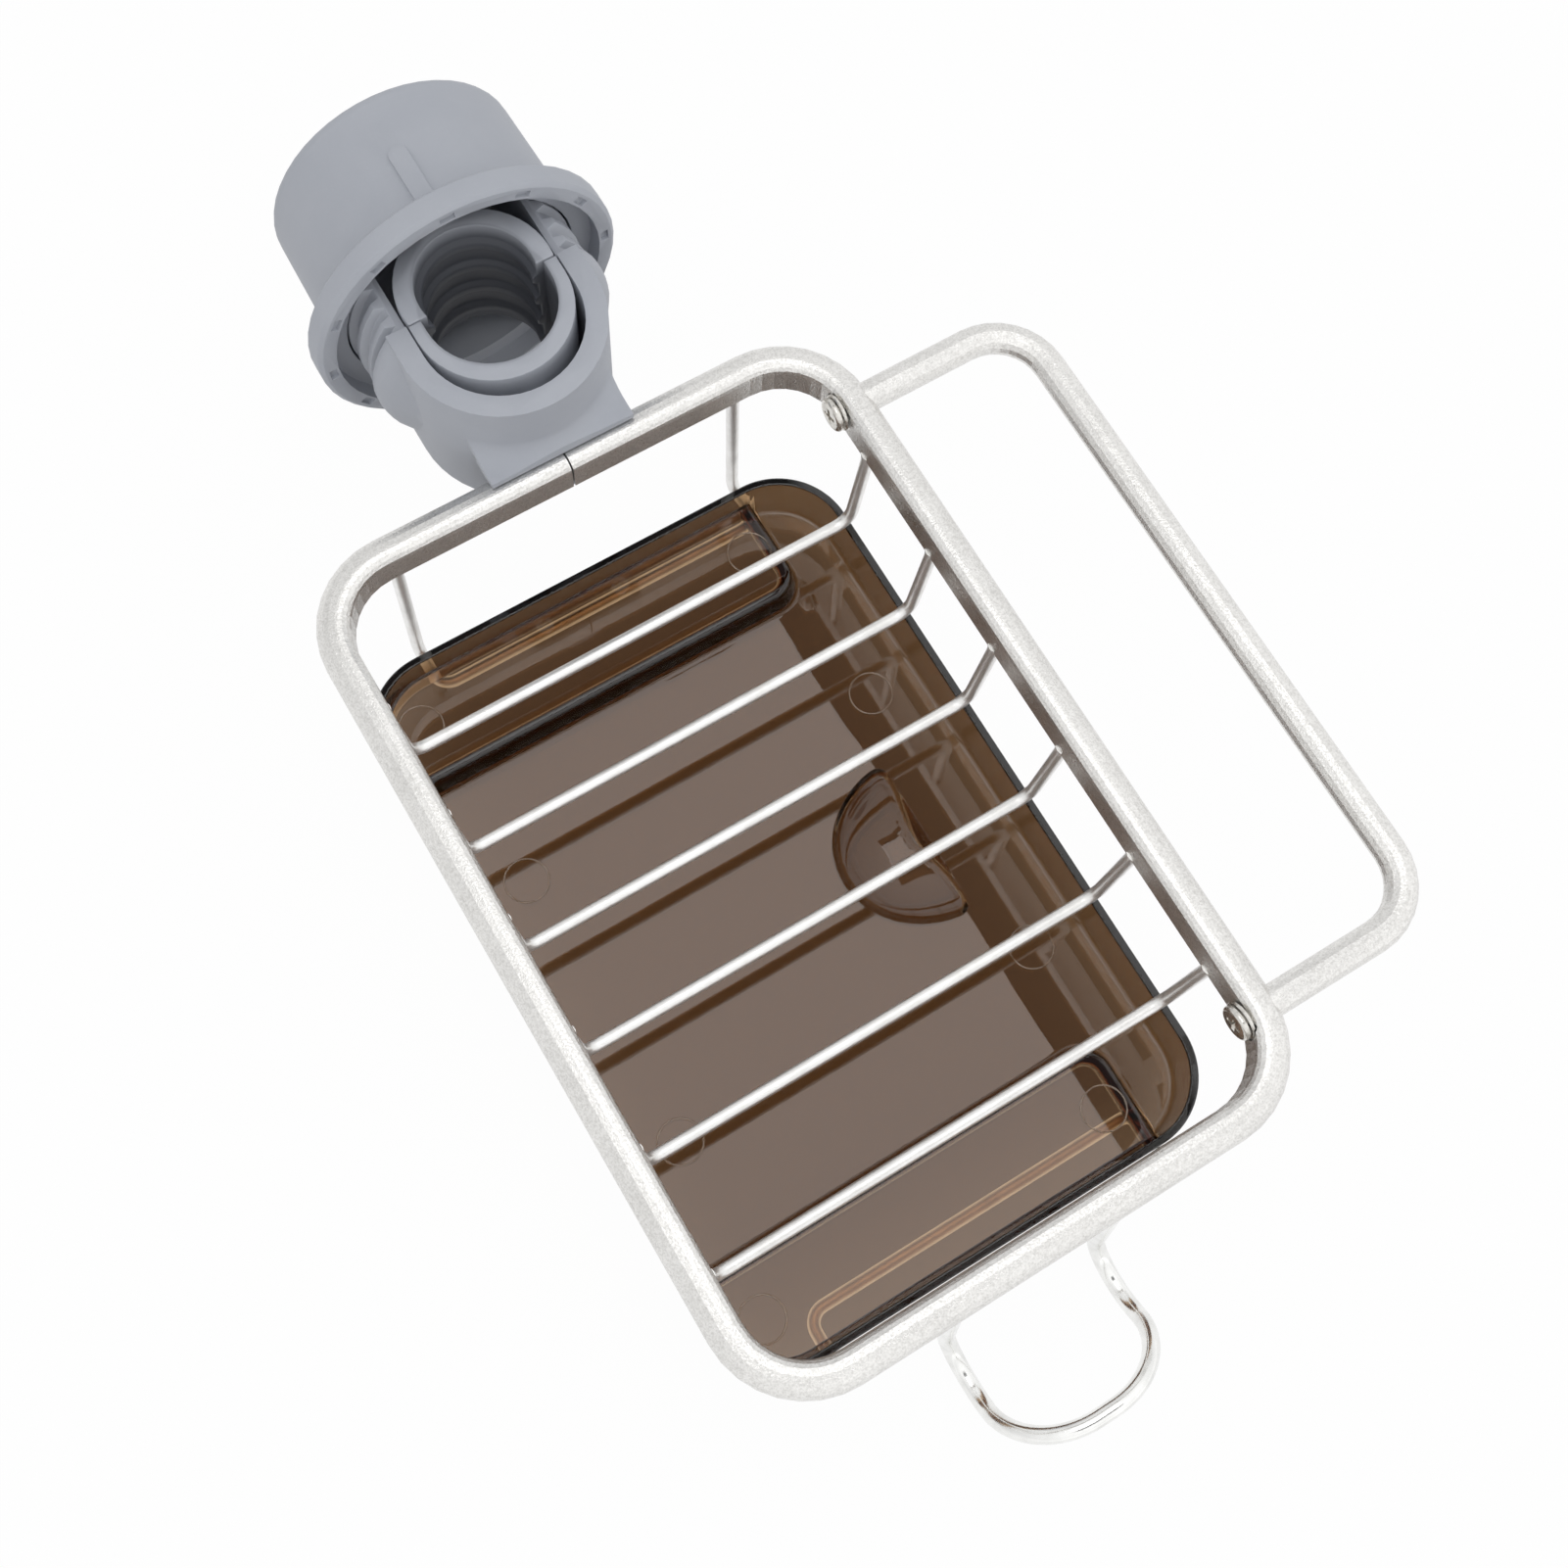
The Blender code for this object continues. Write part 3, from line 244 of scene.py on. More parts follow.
def mouldedPlastic(name, shade):
    material, tree, place = newMaterial(name)
    cloud = tree.noise(place, moulded["cloud"], 4, 0.6)
    speck = tree.noise(place, moulded["speck"], 3, 0.7)
    share = cloud.ramp(0.3, 0.75) * moulded["cloudShare"] + speck.ramp(0.55, 0.8) * moulded["speckShare"]
    colour = tree.blend(share, moulded["colour"], moulded["pale"])
    # painted shade: darker inside the bore, below its top
    across, along, up = [tree.add("ShaderNodeSeparateXYZ", {}, {0: place}, axis) for axis in (0, 1, 2)]
    circles = []
    for centre, radius in (moulded["liner"], moulded["pusher"]):
        reach = (across * across + (along - centre) * (along - centre)) ** 0.5
        circles.append(1 - reach.ramp(radius, radius + moulded["fade"]))
    bore = up.work("MAXIMUM", circles[0], circles[1]) * (1 - up.ramp(*moulded["shadeTop"]))
    colour = tree.blend(bore * shade, colour, moulded["boreShadeColour"])
    rough = moulded["smooth"] + cloud * (moulded["rough"] - moulded["smooth"])
    normal = tree.bump(speck, moulded["height"])
    values = {"Base Color": colour, "Roughness": rough, "Normal": normal}
    closeMaterial(tree, values | {"Specular IOR Level": moulded["specular"]})
    return material


# clear smoked plastic: the colour is in its thickness
smoked = {"clear": (1.0, 1.0, 1.0), "dusty": (0.9, 0.9, 0.9), "smooth": 0.0, "rough": 0.02, "index": 1.66,
          "tint": (0.64, 0.4, 0.06), "density": 860.0, "haze": 0.02, "wave": 0.035, "speck": 0.0012,
          "height": 0.00005}


def smokedPlastic():
    material, tree, place = newMaterial("smokedPlastic")
    haze = tree.noise(place, smoked["haze"], 4, 0.6)
    wave = tree.noise(place, smoked["wave"], 2, 0.5)
    speck = tree.noise(place, smoked["speck"], 2, 0.5)
    rough = smoked["smooth"] + haze.ramp(0.3, 0.8) * (smoked["rough"] - smoked["smooth"])
    colour = tree.blend(speck.ramp(0.76, 0.8), smoked["clear"], smoked["dusty"])
    normal = tree.bump(wave, smoked["height"])
    values = {"Color": smoked["tint"], "Density": smoked["density"]}
    depth = tree.add("ShaderNodeVolumeAbsorption", {}, values)
    values = {"Base Color": colour, "Roughness": rough, "Normal": normal, "Transmission Weight": 1.0,
              "IOR": smoked["index"]}
    closeMaterial(tree, values, depth)
    return material


finishes = {
    "aluminium": satinAluminium(),
    "wire": drawnWire(),
    "chrome": polishedHook(),
    "nickel": platedSteel(),
    "plastic": mouldedPlastic("mouldedPlastic", moulded["shade"]),
    "smoked": smokedPlastic(),
}
# the cap gets no painted bore shade
capFinish = mouldedPlastic("capPlastic", 0.0)  # the cap is never inside the bore
print("finishes made")

for part in frame["record"]["subparts"]:
    item = nodes[part["node"]]
    finish = capFinish if part["node"] == "clamp_cap" else finishes[part["material_slot"]]
    item.data.materials.clear()
    item.data.materials.append(finish)


def addPiece(name, mesh, body, slot, replaced=()):
    item = bpy.data.objects.new(name, mesh)
    bpy.context.scene.collection.objects.link(item)
    if not mesh.materials:
        mesh.materials.append(finishes[slot])
    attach(item, body)
    if replaced:
        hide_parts(*replaced)


# a geometry tree with named inputs, and the mesh that it makes from a base
def newForm(name, inputs):
    group = bpy.data.node_groups.new(name, "GeometryNodeTree")
    group.interface.new_socket(name="Geometry", in_out="INPUT", socket_type="NodeSocketGeometry")
    keys = {}
    for label, kind in inputs.items():
        keys[label] = group.interface.new_socket(name=label, in_out="INPUT", socket_type=kind).identifier
    group.interface.new_socket(name="Geometry", in_out="OUTPUT", socket_type="NodeSocketGeometry")
    tree = Tree(group)
    signals = {"Geometry": tree.add("NodeGroupInput", {}, {}, "Geometry")}
    for label in inputs:
        signals[label] = tree.add("NodeGroupInput", {}, {}, label)
    return {"group": group, "keys": keys, "tree": tree, "signals": signals}


def closeForm(form, shape):
    tree = form["tree"]
    whole = tree.add("GeometryNodeRealizeInstances", {}, {0: shape})
    smooth = tree.add("GeometryNodeSetShadeSmooth", {}, {0: whole})
    painted = tree.add("GeometryNodeSetMaterial", {}, {0: smooth, "Material": form["signals"]["Material"]})
    tree.add("NodeGroupOutput", {}, {0: painted})


def grow(form, base, values):
    source = bpy.data.objects.new(base.name, base)
    bpy.context.scene.collection.objects.link(source)
    modifier = source.modifiers.new("form", "NODES")
    modifier.node_group = form["group"]
    for label, value in values.items():
        modifier[form["keys"][label]] = value
    graph = bpy.context.evaluated_depsgraph_get()
    mesh = bpy.data.meshes.new_from_object(source.evaluated_get(graph))
    bpy.data.objects.remove(source, do_unlink=True)
    return mesh


# wire drawn along a path, a little thicker where it is welded
def wireForm():
    inputs = {"Radius": "NodeSocketFloat", "Sides": "NodeSocketInt", "Material": "NodeSocketMaterial"}
    form = newForm("wireForm", inputs)
    tree, signals = form["tree"], form["signals"]
    path = tree.add("GeometryNodeMeshToCurve", {}, {0: signals["Geometry"]})
    values = {"Resolution": signals["Sides"], "Radius": signals["Radius"]}
    ring = tree.add("GeometryNodeCurvePrimitiveCircle", {}, values)
    swell = tree.add("GeometryNodeInputNamedAttribute", {"data_type": "FLOAT"}, {"Name": "swell"})
    values = {"Curve": path, "Profile Curve": ring, "Scale": swell, "Fill Caps": True}
    closeForm(form, tree.add("GeometryNodeCurveToMesh", {}, values))
    return form


wires = wireForm()
weld = {"reach": 0.0016, "swell": 0.28, "bury": 0.0007, "points": 7}


def pathMesh(name, path, welds=True):
    lengths = [0.0]
    for before, after in zip(path[:-1], path[1:]):
        lengths.append(lengths[-1] + (after - before).length)
    mesh = bpy.data.meshes.new(name)
    mesh.from_pydata([tuple(point) for point in path], [(i, i + 1) for i in range(len(path) - 1)], [])
    swell = mesh.attributes.new("swell", "FLOAT", "POINT")
    for index, along in enumerate(lengths):
        end = min(along, lengths[-1] - along) / weld["reach"]
        swell.data[index].value = 1 + weld["swell"] * math.exp(-end * end) if welds else 1
    return mesh


def roundedPath(corners, radius, steps):
    corners = [Vector(corner) for corner in corners]
    path = [corners[0]]
    for before, corner, after in zip(corners[:-2], corners[1:-1], corners[2:]):
        back = (before - corner).normalized()
        ahead = (after - corner).normalized()
        half = back.angle(ahead) / 2
        middle = corner + (back + ahead).normalized() * (radius / math.sin(half))
        start = corner + back * (radius / math.tan(half)) - middle
        end = corner + ahead * (radius / math.tan(half)) - middle
        swing = math.pi - 2 * half
        for index in range(steps + 1):
            share = swing * index / steps
            mixed = start * math.sin(swing - share) + end * math.sin(share)
            path.append(middle + mixed / math.sin(swing))
    path.append(corners[-1])
    return path


# more points near the two ends, so a weld can swell there
def withEnds(path):
    first, last = [], []
    for index in range(weld["points"]):
        run = 2 * weld["reach"] * index / weld["points"]
        first.append(path[0] + (path[1] - path[0]).normalized() * run)
        last.append(path[-1] + (path[-2] - path[-1]).normalized() * run)
    return first + path[1:-1] + last[::-1]


rack = {"crossbars": 6, "wire": 0.003, "rod": 0.007, "sides": 28, "bendSteps": 14, "barUnder": -0.009,
        "barLean": 0.0018, "barBend": 0.0048, "hangerLean": 0.0014, "hangerBend": 0.0042,
        "stub": 0.0016, "stubSides": 48, "stubInset": 0.00001}


def makeWires():
    top = rack["barUnder"] + weld["bury"]
    half = rack["wire"] / 2
    values = {"Radius": half, "Sides": rack["sides"], "Material": finishes["wire"]}
    for index in range(rack["crossbars"]):
        name = "crossbar_" + str(index + 1)
        low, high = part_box(name)
        place = (low[1] + high[1]) / 2
        flat = low[2] + half
        reach = high[0] - half
        foot = reach - rack["barLean"]
        corners = [(-reach, place, top), (-foot, place, flat), (foot, place, flat), (reach, place, top)]
        path = withEnds(roundedPath(corners, rack["barBend"], rack["bendSteps"]))
        mesh = grow(wires, pathMesh(name + "_path", path), values)
        addPiece("wire_" + str(index + 1), mesh, "rack", "wire", (name,))
    for name, side in (("hanger_clamp_end", 1), ("hanger_hook_end", -1)):
        low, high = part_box(name)
        outer = high[1] - half if side > 0 else low[1] + half
        inner = low[1] + half if side > 0 else high[1] - half
        foot = low[2] + half
        reach = high[0] - half
        corners = [(-reach + rack["hangerLean"], outer, top), (-reach, outer, foot), (-reach, inner, foot)]
        corners += [(-x, y, z) for x, y, z in reversed(corners)]
        path = withEnds(roundedPath(corners, rack["hangerBend"], rack["bendSteps"]))
        mesh = grow(wires, pathMesh(name + "_path", path), values)
        addPiece(name.replace("hanger", "hanging_wire"), mesh, "rack", "wire", (name,))


# the rod's ends run on into the bar, so that no gap shows
def makeRodEnds():
    radius = rack["rod"] / 2 - rack["stubInset"]
    values = {"Radius": radius, "Sides": rack["stubSides"], "Material": finishes["aluminium"]}
    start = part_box("towel_bar")[0][0]
    for index in (1, 2):
        near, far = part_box("towel_screw_" + str(index))
        across, up = (near[1] + far[1]) / 2, (near[2] + far[2]) / 2
        path = [Vector((start + rack["stub"] * share, across, up)) for share in (-1, -0.5, 0, 0.5, 1)]
        mesh = grow(wires, pathMesh("rod_end_path", path, False), values)
        addPiece("rod_end_" + str(index), mesh, "rack", "aluminium")


makeWires()
makeRodEnds()
print("wires made")

# the hook: a flat U wrapped down, round and up along a J
hook = {"wire": 0.004, "sides": 36, "frameEnd": -0.22445, "halfSpan": 0.0199, "inset": 0.0034, "seat": 0.0003,
        "curve": 0.0111, "out": 0.0145, "drop": 0.0546, "turn": 138, "tip": 0.0174, "tipRadius": 0.0178,
        "tipSteps": 24, "legStops": 6, "bendStops": 24}


def hookPath():
    top = Vector((hook["frameEnd"] + hook["inset"], rack["barUnder"] - hook["seat"]))
    centre = Vector((hook["frameEnd"] - hook["out"], -hook["drop"]))
    radius = hook["curve"]
    run = top - centre
    lean = math.atan2(run.y, run.x) - math.acos(radius / run.length)
    touch = centre + radius * Vector((math.cos(lean), math.sin(lean)))
    leg = (touch - top).length
    bend = radius * (lean + math.radians(hook["turn"]))
    total = leg + bend + hook["tip"]
    half = hook["halfSpan"]
    corners = [(-half, 0, 0), (-half, total, 0), (half, total, 0), (half, 0, 0)]
    flat = roundedPath(corners, hook["tipRadius"], hook["tipSteps"])
    step = (total - hook["tipRadius"] - leg) / hook["bendStops"]
    stops = [leg * index / hook["legStops"] for index in range(1, hook["legStops"])]
    stops += [leg + step * index for index in range(hook["bendStops"])]
    left = [Vector((-half, along, 0)) for along in stops]
    right = [Vector((half, along, 0)) for along in reversed(stops)]
    path = []
    for point in [flat[0]] + left + flat[1:-1] + right + [flat[-1]]:
        along = point.y
        if along <= leg:
            place = top.lerp(touch, along / leg)
        else:
            past = max(along - leg - bend, 0)
            angle = lean - (along - leg - past) / radius
            place = centre + radius * Vector((math.cos(angle), math.sin(angle)))
            place = place + past * Vector((math.sin(angle), -math.cos(angle)))
        path.append(Vector((point.x, place.x, place.y)))
    path[0].z += weld["bury"]
    path[-1].z += weld["bury"]
    return path


def makeHook():
    values = {"Radius": hook["wire"] / 2, "Sides": hook["sides"], "Material": finishes["chrome"]}
    mesh = grow(wires, pathMesh("hook_path", withEnds(hookPath())), values)
    addPiece("hook_wire", mesh, "rack", "chrome", ("hook_loop",))


makeHook()
print("hook made")


# the clamp's plastic: copies of its CAD nodes with their edges rounded over
soft = {"width": 0.00032, "segments": 2, "angle": 30, "merge": 0.000004, "flat": 0.6, "sharp": 50,
        "pieces": {"clamp_shell": ("clamp_body", "rack"), "liner_ring": ("clamp_liner", "rack"),
                   "pusher_ring": ("clamp_pusher", "pusher"), "cap_cup": ("clamp_cap", "cap")}}


def soften(name, node, body):
    mesh = nodes[node].data.copy()
    shape = bmesh.new()
    shape.from_mesh(mesh)
    shape.transform(nodes[node].matrix_world)
    bmesh.ops.remove_doubles(shape, verts=shape.verts, dist=soft["merge"])
    flat = math.radians(soft["flat"])
    bmesh.ops.dissolve_limit(shape, angle_limit=flat, verts=shape.verts, edges=shape.edges)
    shape.to_mesh(mesh)
    shape.free()
    source = bpy.data.objects.new(name + "_source", mesh)
    bpy.context.scene.collection.objects.link(source)
    bevel = source.modifiers.new("soft", "BEVEL")
    bevel.width = soft["width"]
    bevel.segments = soft["segments"]
    bevel.limit_method = "ANGLE"
    bevel.angle_limit = math.radians(soft["angle"])
    bevel.harden_normals = False
    bevel.use_clamp_overlap = True
    graph = bpy.context.evaluated_depsgraph_get()
    result = bpy.data.meshes.new_from_object(source.evaluated_get(graph))
    bpy.data.objects.remove(source, do_unlink=True)
    result.shade_smooth()
    result.set_sharp_from_angle(angle=math.radians(soft["sharp"]))
    addPiece(name, result, body, "plastic", (node,))


for name, (node, body) in soft["pieces"].items():
    soften(name, node, body)
print("plastic made")

# smoked tray: a sheet of points for each side, in lines round its wall, raised ends and finger pocket
basin = {"corner": 0.018, "draft": 0.0008, "wall": 0.002, "rimWall": 0.0018, "rimRound": 0.00035,
         "rimEase": 0.0001, "fillet": 0.0011, "under": 0.0016, "steps": 22, "floorEase": 0.0005,
         "underEase": 0.0004, "heldShares": (0.05, 0.95), "merge": 0.0000005, "sharp": 50, "blend": 0.0012,
         "blockFront": 0.0285, "blockEnd": 0.0155, "blockCorner": 0.008, "blockDrop": 0.0055,
         "blockRound": 0.0016, "blockFoot": 0.0009, "blockLean": 0.0013, "blockSteps": 14,
         "lineInset": 0.0006,
         "shell": 0.0015, "front": 0.0034, "hollowLean": 0.0001, "hollowSlope": 0.09, "hollowEase": 0.001,
         "pocketWall": 0.0368, "pocketMiddle": -0.1308, "pocketHalf": 0.0206, "pocketReach": 0.0232,
         "pocketCorner": 0.0035, "pocketHeight": 0.0088, "pocketSteep": 0.003, "pocketCentre": 0.3,
         "pocketPoints": 96, "pocketArc": 360, "pocketSide": 240, "pocketMean": 8, "steepPower": 9,
         "domePower": 1.6}
trayLow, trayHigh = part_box("drip_tray")
trayMiddle = ((trayLow[0] + trayHigh[0]) / 2, (trayLow[1] + trayHigh[1]) / 2)
trayHalf = ((trayHigh[0] - trayLow[0]) / 2, (trayHigh[1] - trayLow[1]) / 2)
trayRise = trayHigh[2] - trayLow[2]
blockRise = trayRise - basin["blockDrop"] - basin["wall"]


def quarter(centre, radius, start, end, steps):
    points = []
    for index in range(steps + 1):
        angle = math.radians(start + (end - start) * index / steps)
        points.append((centre[0] + radius * math.cos(angle), centre[1] + radius * math.sin(angle)))
    return points


# height of a profile of (distance, height) points at a distance
def riseAt(profile, distance):
    if distance <= profile[0][0]:
        return profile[0][1]
    for before, after in zip(profile[:-1], profile[1:]):
        if distance <= after[0]:
            return before[1] + (after[1] - before[1]) * (distance - before[0]) / (after[0] - before[0])
    return profile[-1][1]


# two points close to the ends of a straight stretch, which keep its shading flat
def held(first, last):
    return [(first[0] + (last[0] - first[0]) * share, first[1] + (last[1] - first[1]) * share)
            for share in basin["heldShares"]]


# a corner's points, from an upright side into a level one
def fromUpright(centre, radius, up, angles):
    turns = [math.radians(angle) for angle in angles]
    return [(centre[0] - radius * math.cos(turn), centre[1] + up * radius * math.sin(turn)) for turn in turns]


# a corner's points, from a level side into an upright one
def fromLevel(centre, radius, up, angles):
    turns = [math.radians(angle) for angle in angles]
    return [(centre[0] + radius * math.sin(turn), centre[1] + up * radius * math.cos(turn)) for turn in turns]


# rim and inside wall down to the floor, its foot rounded; heights are over the floor
def wallProfile():
    tall = trayRise - basin["wall"]
    edge, radius, ease = basin["rimRound"], basin["fillet"], basin["rimEase"]
    far = basin["rimWall"] - edge
    points = fromUpright((edge, tall - edge), edge, 1, (0, 22, 45, 68, 90))
    points += [(edge + ease, tall), (far - ease, tall)]
    points += fromLevel((far, tall - edge), edge, 1, (0, 22, 45, 68, 86))
    foot = basin["draft"] + basin["rimWall"] + radius
    curve = fromUpright((foot, radius), radius, -1, (4, 16, 28, 40, 52, 64, 76, 86))
    points += held(points[-1], curve[0]) + curve
    return points + [(foot, 0), (foot + basin["floorEase"], 0)]


# outside wall from the rim down to the underside; heights are over the underside
def outsideProfile():
    radius = basin["under"]
    foot = basin["draft"] + radius
    points = [(0, trayRise - basin["rimRound"])]
    curve = fromUpright((foot, radius), radius, -1, (4, 20, 38, 56, 74))
    points += held(points[0], curve[0]) + curve
    return points + [(foot, 0), (foot + basin["underEase"], 0)]


# front of a raised end from the floor up to its top
def blockProfile(lean):
    foot, edge = basin["blockFoot"], basin["blockRound"]
    points = [(-foot - basin["underEase"], 0), (-foot, 0)]
    points += fromLevel((-foot, foot), foot, -1, (18, 36, 54, 72, 86))
    points += fromUpright((lean + edge, blockRise - edge), edge, 1, (4, 16, 28, 40, 52, 64, 76, 86))
    return points + [(lean + edge, blockRise), (lean + edge + basin["floorEase"], blockRise)]


# distance in from the tray's outline
def fromWall(x, y):
    radius = basin["corner"]
    across = abs(x - trayMiddle[0]) - (trayHalf[0] - radius)
    long = abs(y - trayMiddle[1]) - (trayHalf[1] - radius)
    return radius - math.hypot(max(across, 0), max(long, 0)) - min(max(across, long), 0)


# distance in from the outline of a raised end
def fromBlock(x, y, side):
    radius = basin["blockCorner"]
    across = trayMiddle[0] + trayHalf[0] - basin["blockEnd"] - x
    long = side * (y - trayMiddle[1]) - (trayHalf[1] - basin["blockFront"])
    if across >= radius and long >= radius:
        return min(across, long)
    return radius - math.hypot(max(radius - across, 0), max(radius - long, 0))


# the higher of two heights, blended where they meet
def union(first, second):
    low = min(first, second)
    reach = min(basin["blend"], 2 * low)
    gap = abs(first - second)
    extra = (reach - gap) ** 2 / (4 * reach) if reach > gap else 0
    return max(first, second) + extra


def wallRing(inset):
    radius = basin["corner"] - inset
    across = trayHalf[0] - basin["corner"]
    long = trayHalf[1] - basin["corner"]
    points = []
    for index, (x, y) in enumerate(((1, 1), (-1, 1), (-1, -1), (1, -1))):
        centre = (trayMiddle[0] + x * across, trayMiddle[1] + y * long)
        points += quarter(centre, radius, 90 * index, 90 * index + 90, basin["steps"])
    return points


def blockLine(inset, side):
    radius = basin["blockCorner"] - inset
    right = trayMiddle[0] + trayHalf[0] - basin["blockEnd"]
    front = trayMiddle[1] + side * (trayHalf[1] - basin["blockFront"])
    centre = (right - basin["blockCorner"], front + side * basin["blockCorner"])
    arc = quarter(centre, radius, 0, -90 * side, basin["blockSteps"])
    keep = basin["rimWall"] + basin["lineInset"]
    end = (right - inset, trayMiddle[1] + side * (trayHalf[1] - keep))
    left = (trayMiddle[0] - trayHalf[0] + keep, front + side * inset)
    return [end] + arc + [left]


# half-moon outline: a straight side towards the wall, its two corners rounded
def pocketOutline():
    wall, middle = basin["pocketWall"], basin["pocketMiddle"]
    half, reach, corner = basin["pocketHalf"], basin["pocketReach"], basin["pocketCorner"]
    raw = []
    arcSteps, sideSteps, spread = basin["pocketArc"], basin["pocketSide"], basin["pocketMean"]
    for index in range(arcSteps + 1):
        angle = math.pi / 2 + math.pi * index / arcSteps
        raw.append(Vector((wall + reach * math.cos(angle), middle + half * math.sin(angle))))
    for index in range(1, sideSteps):
        raw.append(raw[arcSteps].lerp(raw[0], index / sideSteps))
    total = len(raw)
    lengths = [0.0]
    for index in range(total):
        lengths.append(lengths[-1] + (raw[(index + 1) % total] - raw[index]).length)
    # rounding by a running mean over the corner's size
    outline = []
    for index in range(basin["pocketPoints"]):
        target = lengths[-1] * index / basin["pocketPoints"]
        mean = Vector((0, 0))
        for offset in range(-spread, spread + 1):
            place = (target + corner * offset / spread) % lengths[-1]
            step = 0
            while lengths[step + 1] < place:
                step += 1
            share = (place - lengths[step]) / (lengths[step + 1] - lengths[step])
            mean = mean + raw[step].lerp(raw[(step + 1) % total], share)
        outline.append(mean / (2 * spread + 1))
    return outline


# the pocket's dome: the outline shrunk towards its centre, steep at first and then flatter
def pocketRings(shrink, base):
    outline = pocketOutline()
    wall, middle = basin["pocketWall"], basin["pocketMiddle"]
    centre = Vector((wall - basin["pocketReach"] * basin["pocketCentre"], middle))
    points, loops = [], []
    shares = (1.04, 1.0, 0.995, 0.985, 0.97, 0.95, 0.92, 0.88, 0.83)
    shares += (0.77, 0.7, 0.62, 0.53, 0.43, 0.33, 0.23, 0.13)
    for share in shares:
        loop = []
        for point in outline:
            run = point - centre
            size = (run.length - shrink) / run.length
            place = centre + run * share * size
            steep = 0 if share >= 1 else basin["pocketSteep"] * (1 - share ** basin["steepPower"]) ** 0.5
            dome = (basin["pocketHeight"] - basin["pocketSteep"]) * (1 - min(share, 1) ** basin["domePower"])
            up = steep + dome
            loop.append(len(points))
            points.append((place.x, place.y, base + up))
        loops.append(loop)
    points.append((centre.x, centre.y, base + basin["pocketHeight"]))
    return points, loops


# one side of the tray: its rings joined into triangles, each point lifted to its height
def sheet(lines, raised, height):
    flat, levels, edges = [], [], []
    for points, closed in lines:
        start = len(flat)
        flat += [Vector(point) for point in points]
        levels += [None] * len(points)
        edges += [(start + index, start + index + 1) for index in range(len(points) - 1)]
        if closed:
            edges.append((start + len(points) - 1, start))
    points, loops = raised
    start = len(flat)
    flat += [Vector(point[:2]) for point in points]
    levels += [point[2] for point in points]
    for loop in loops:
        for before, after in zip(loop, loop[1:] + loop[:1]):
            edges.append((start + before, start + after))
    spots, _, faces, origins, _, _ = delaunay_2d_cdt(flat, edges, [], 0, 1e-8)
    whole = []
    for spot, origin in zip(spots, origins):
        level = levels[origin[0]] if origin else None
        whole.append((spot.x, spot.y, height(spot.x, spot.y) if level is None else level))
    return whole, [tuple(face) for face in faces]


def makeTray():
    bottom = trayLow[2]
    floor = bottom + basin["wall"]
    wall, outside, block = wallProfile(), outsideProfile(), blockProfile(basin["blockLean"])
    hollow = [(distance + basin["front"], rise) for distance, rise in blockProfile(basin["hollowLean"])]
    start = basin["draft"] + basin["shell"]
    levels = (0, basin["hollowEase"], blockRise - basin["hollowEase"], blockRise)
    side = [(start + rise * basin["hollowSlope"], rise) for rise in levels]
    side.append((side[-1][0] + basin["floorEase"], blockRise))

    def inner(x, y):
        rise = riseAt(wall, fromWall(x, y))
        for end in (1, -1):
            rise = union(rise, riseAt(block, fromBlock(x, y, end)))
        return floor + rise

    def outer(x, y):
        depth = fromWall(x, y)
        rise = riseAt(outside, depth)
        for end in (1, -1):
            rise = max(rise, min(riseAt(hollow, fromBlock(x, y, end)), riseAt(side, depth)))
        return bottom + rise

    lines = [(wallRing(distance), True) for distance, _ in wall]
    lines += [(blockLine(distance, end), False) for distance, _ in block for end in (1, -1)]
    upper, upperFaces = sheet(lines, pocketRings(0, floor), inner)
    lines = [(wallRing(distance), True) for distance, _ in outside + side]
    lines += [(blockLine(distance, end), False) for distance, _ in hollow for end in (1, -1)]
    lower, lowerFaces = sheet(lines, pocketRings(basin["shell"], bottom), outer)
    faces = upperFaces + [tuple(len(upper) + index for index in reversed(face)) for face in lowerFaces]
    mesh = bpy.data.meshes.new("tray_shell")
    mesh.from_pydata(upper + lower, [], faces)
    shape = bmesh.new()
    shape.from_mesh(mesh)
    bmesh.ops.remove_doubles(shape, verts=shape.verts, dist=basin["merge"])
    bmesh.ops.recalc_face_normals(shape, faces=shape.faces)
    openEdges = [edge for edge in shape.edges if len(edge.link_faces) != 2]
    print("tray", len(shape.verts), "points,", len(openEdges), "open edges")
    shape.to_mesh(mesh)
    shape.free()
    mesh.shade_smooth()
    mesh.set_sharp_from_angle(angle=math.radians(basin["sharp"]))
    addPiece("tray_shell", mesh, "tray", "smoked", ("drip_tray",))


makeTray()
print("tray made")

# screws with a cross recess; point, root, edge, flat and crown are shares of the shank, head or height
screw = {"steps": 48, "crown": 0.6, "slot": 0.0011, "taper": 0.0006, "depth": 0.0016, "above": 0.001,
         "crossTop": 0.62, "crossFoot": 0.3, "turn": 22, "sharp": 35, "point": 0.7, "pointRise": 0.4,
         "pitch": 0.0007, "root": 0.86, "rootRun": 0.0001, "crestRun": 0.00035, "edge": 0.97,
         "edgeRise": 0.04, "flat": 0.76, "domeSteps": 10, "topWidth": 0.4, "topRise": 0.06, "peakRise": 0.08}
panHead = {"seat": 0.0029, "head": 0.004, "height": 0.0014, "shank": 0.00195}
lipHead = {"seat": 0.0015, "head": 0.0025, "height": 0.0015, "shank": 0.0015}
washer = {"steps": 48, "hole": 0.0022, "flare": 0.0024, "chamfer": 0.0001, "edge": 0.0002, "merge": 0.000001}


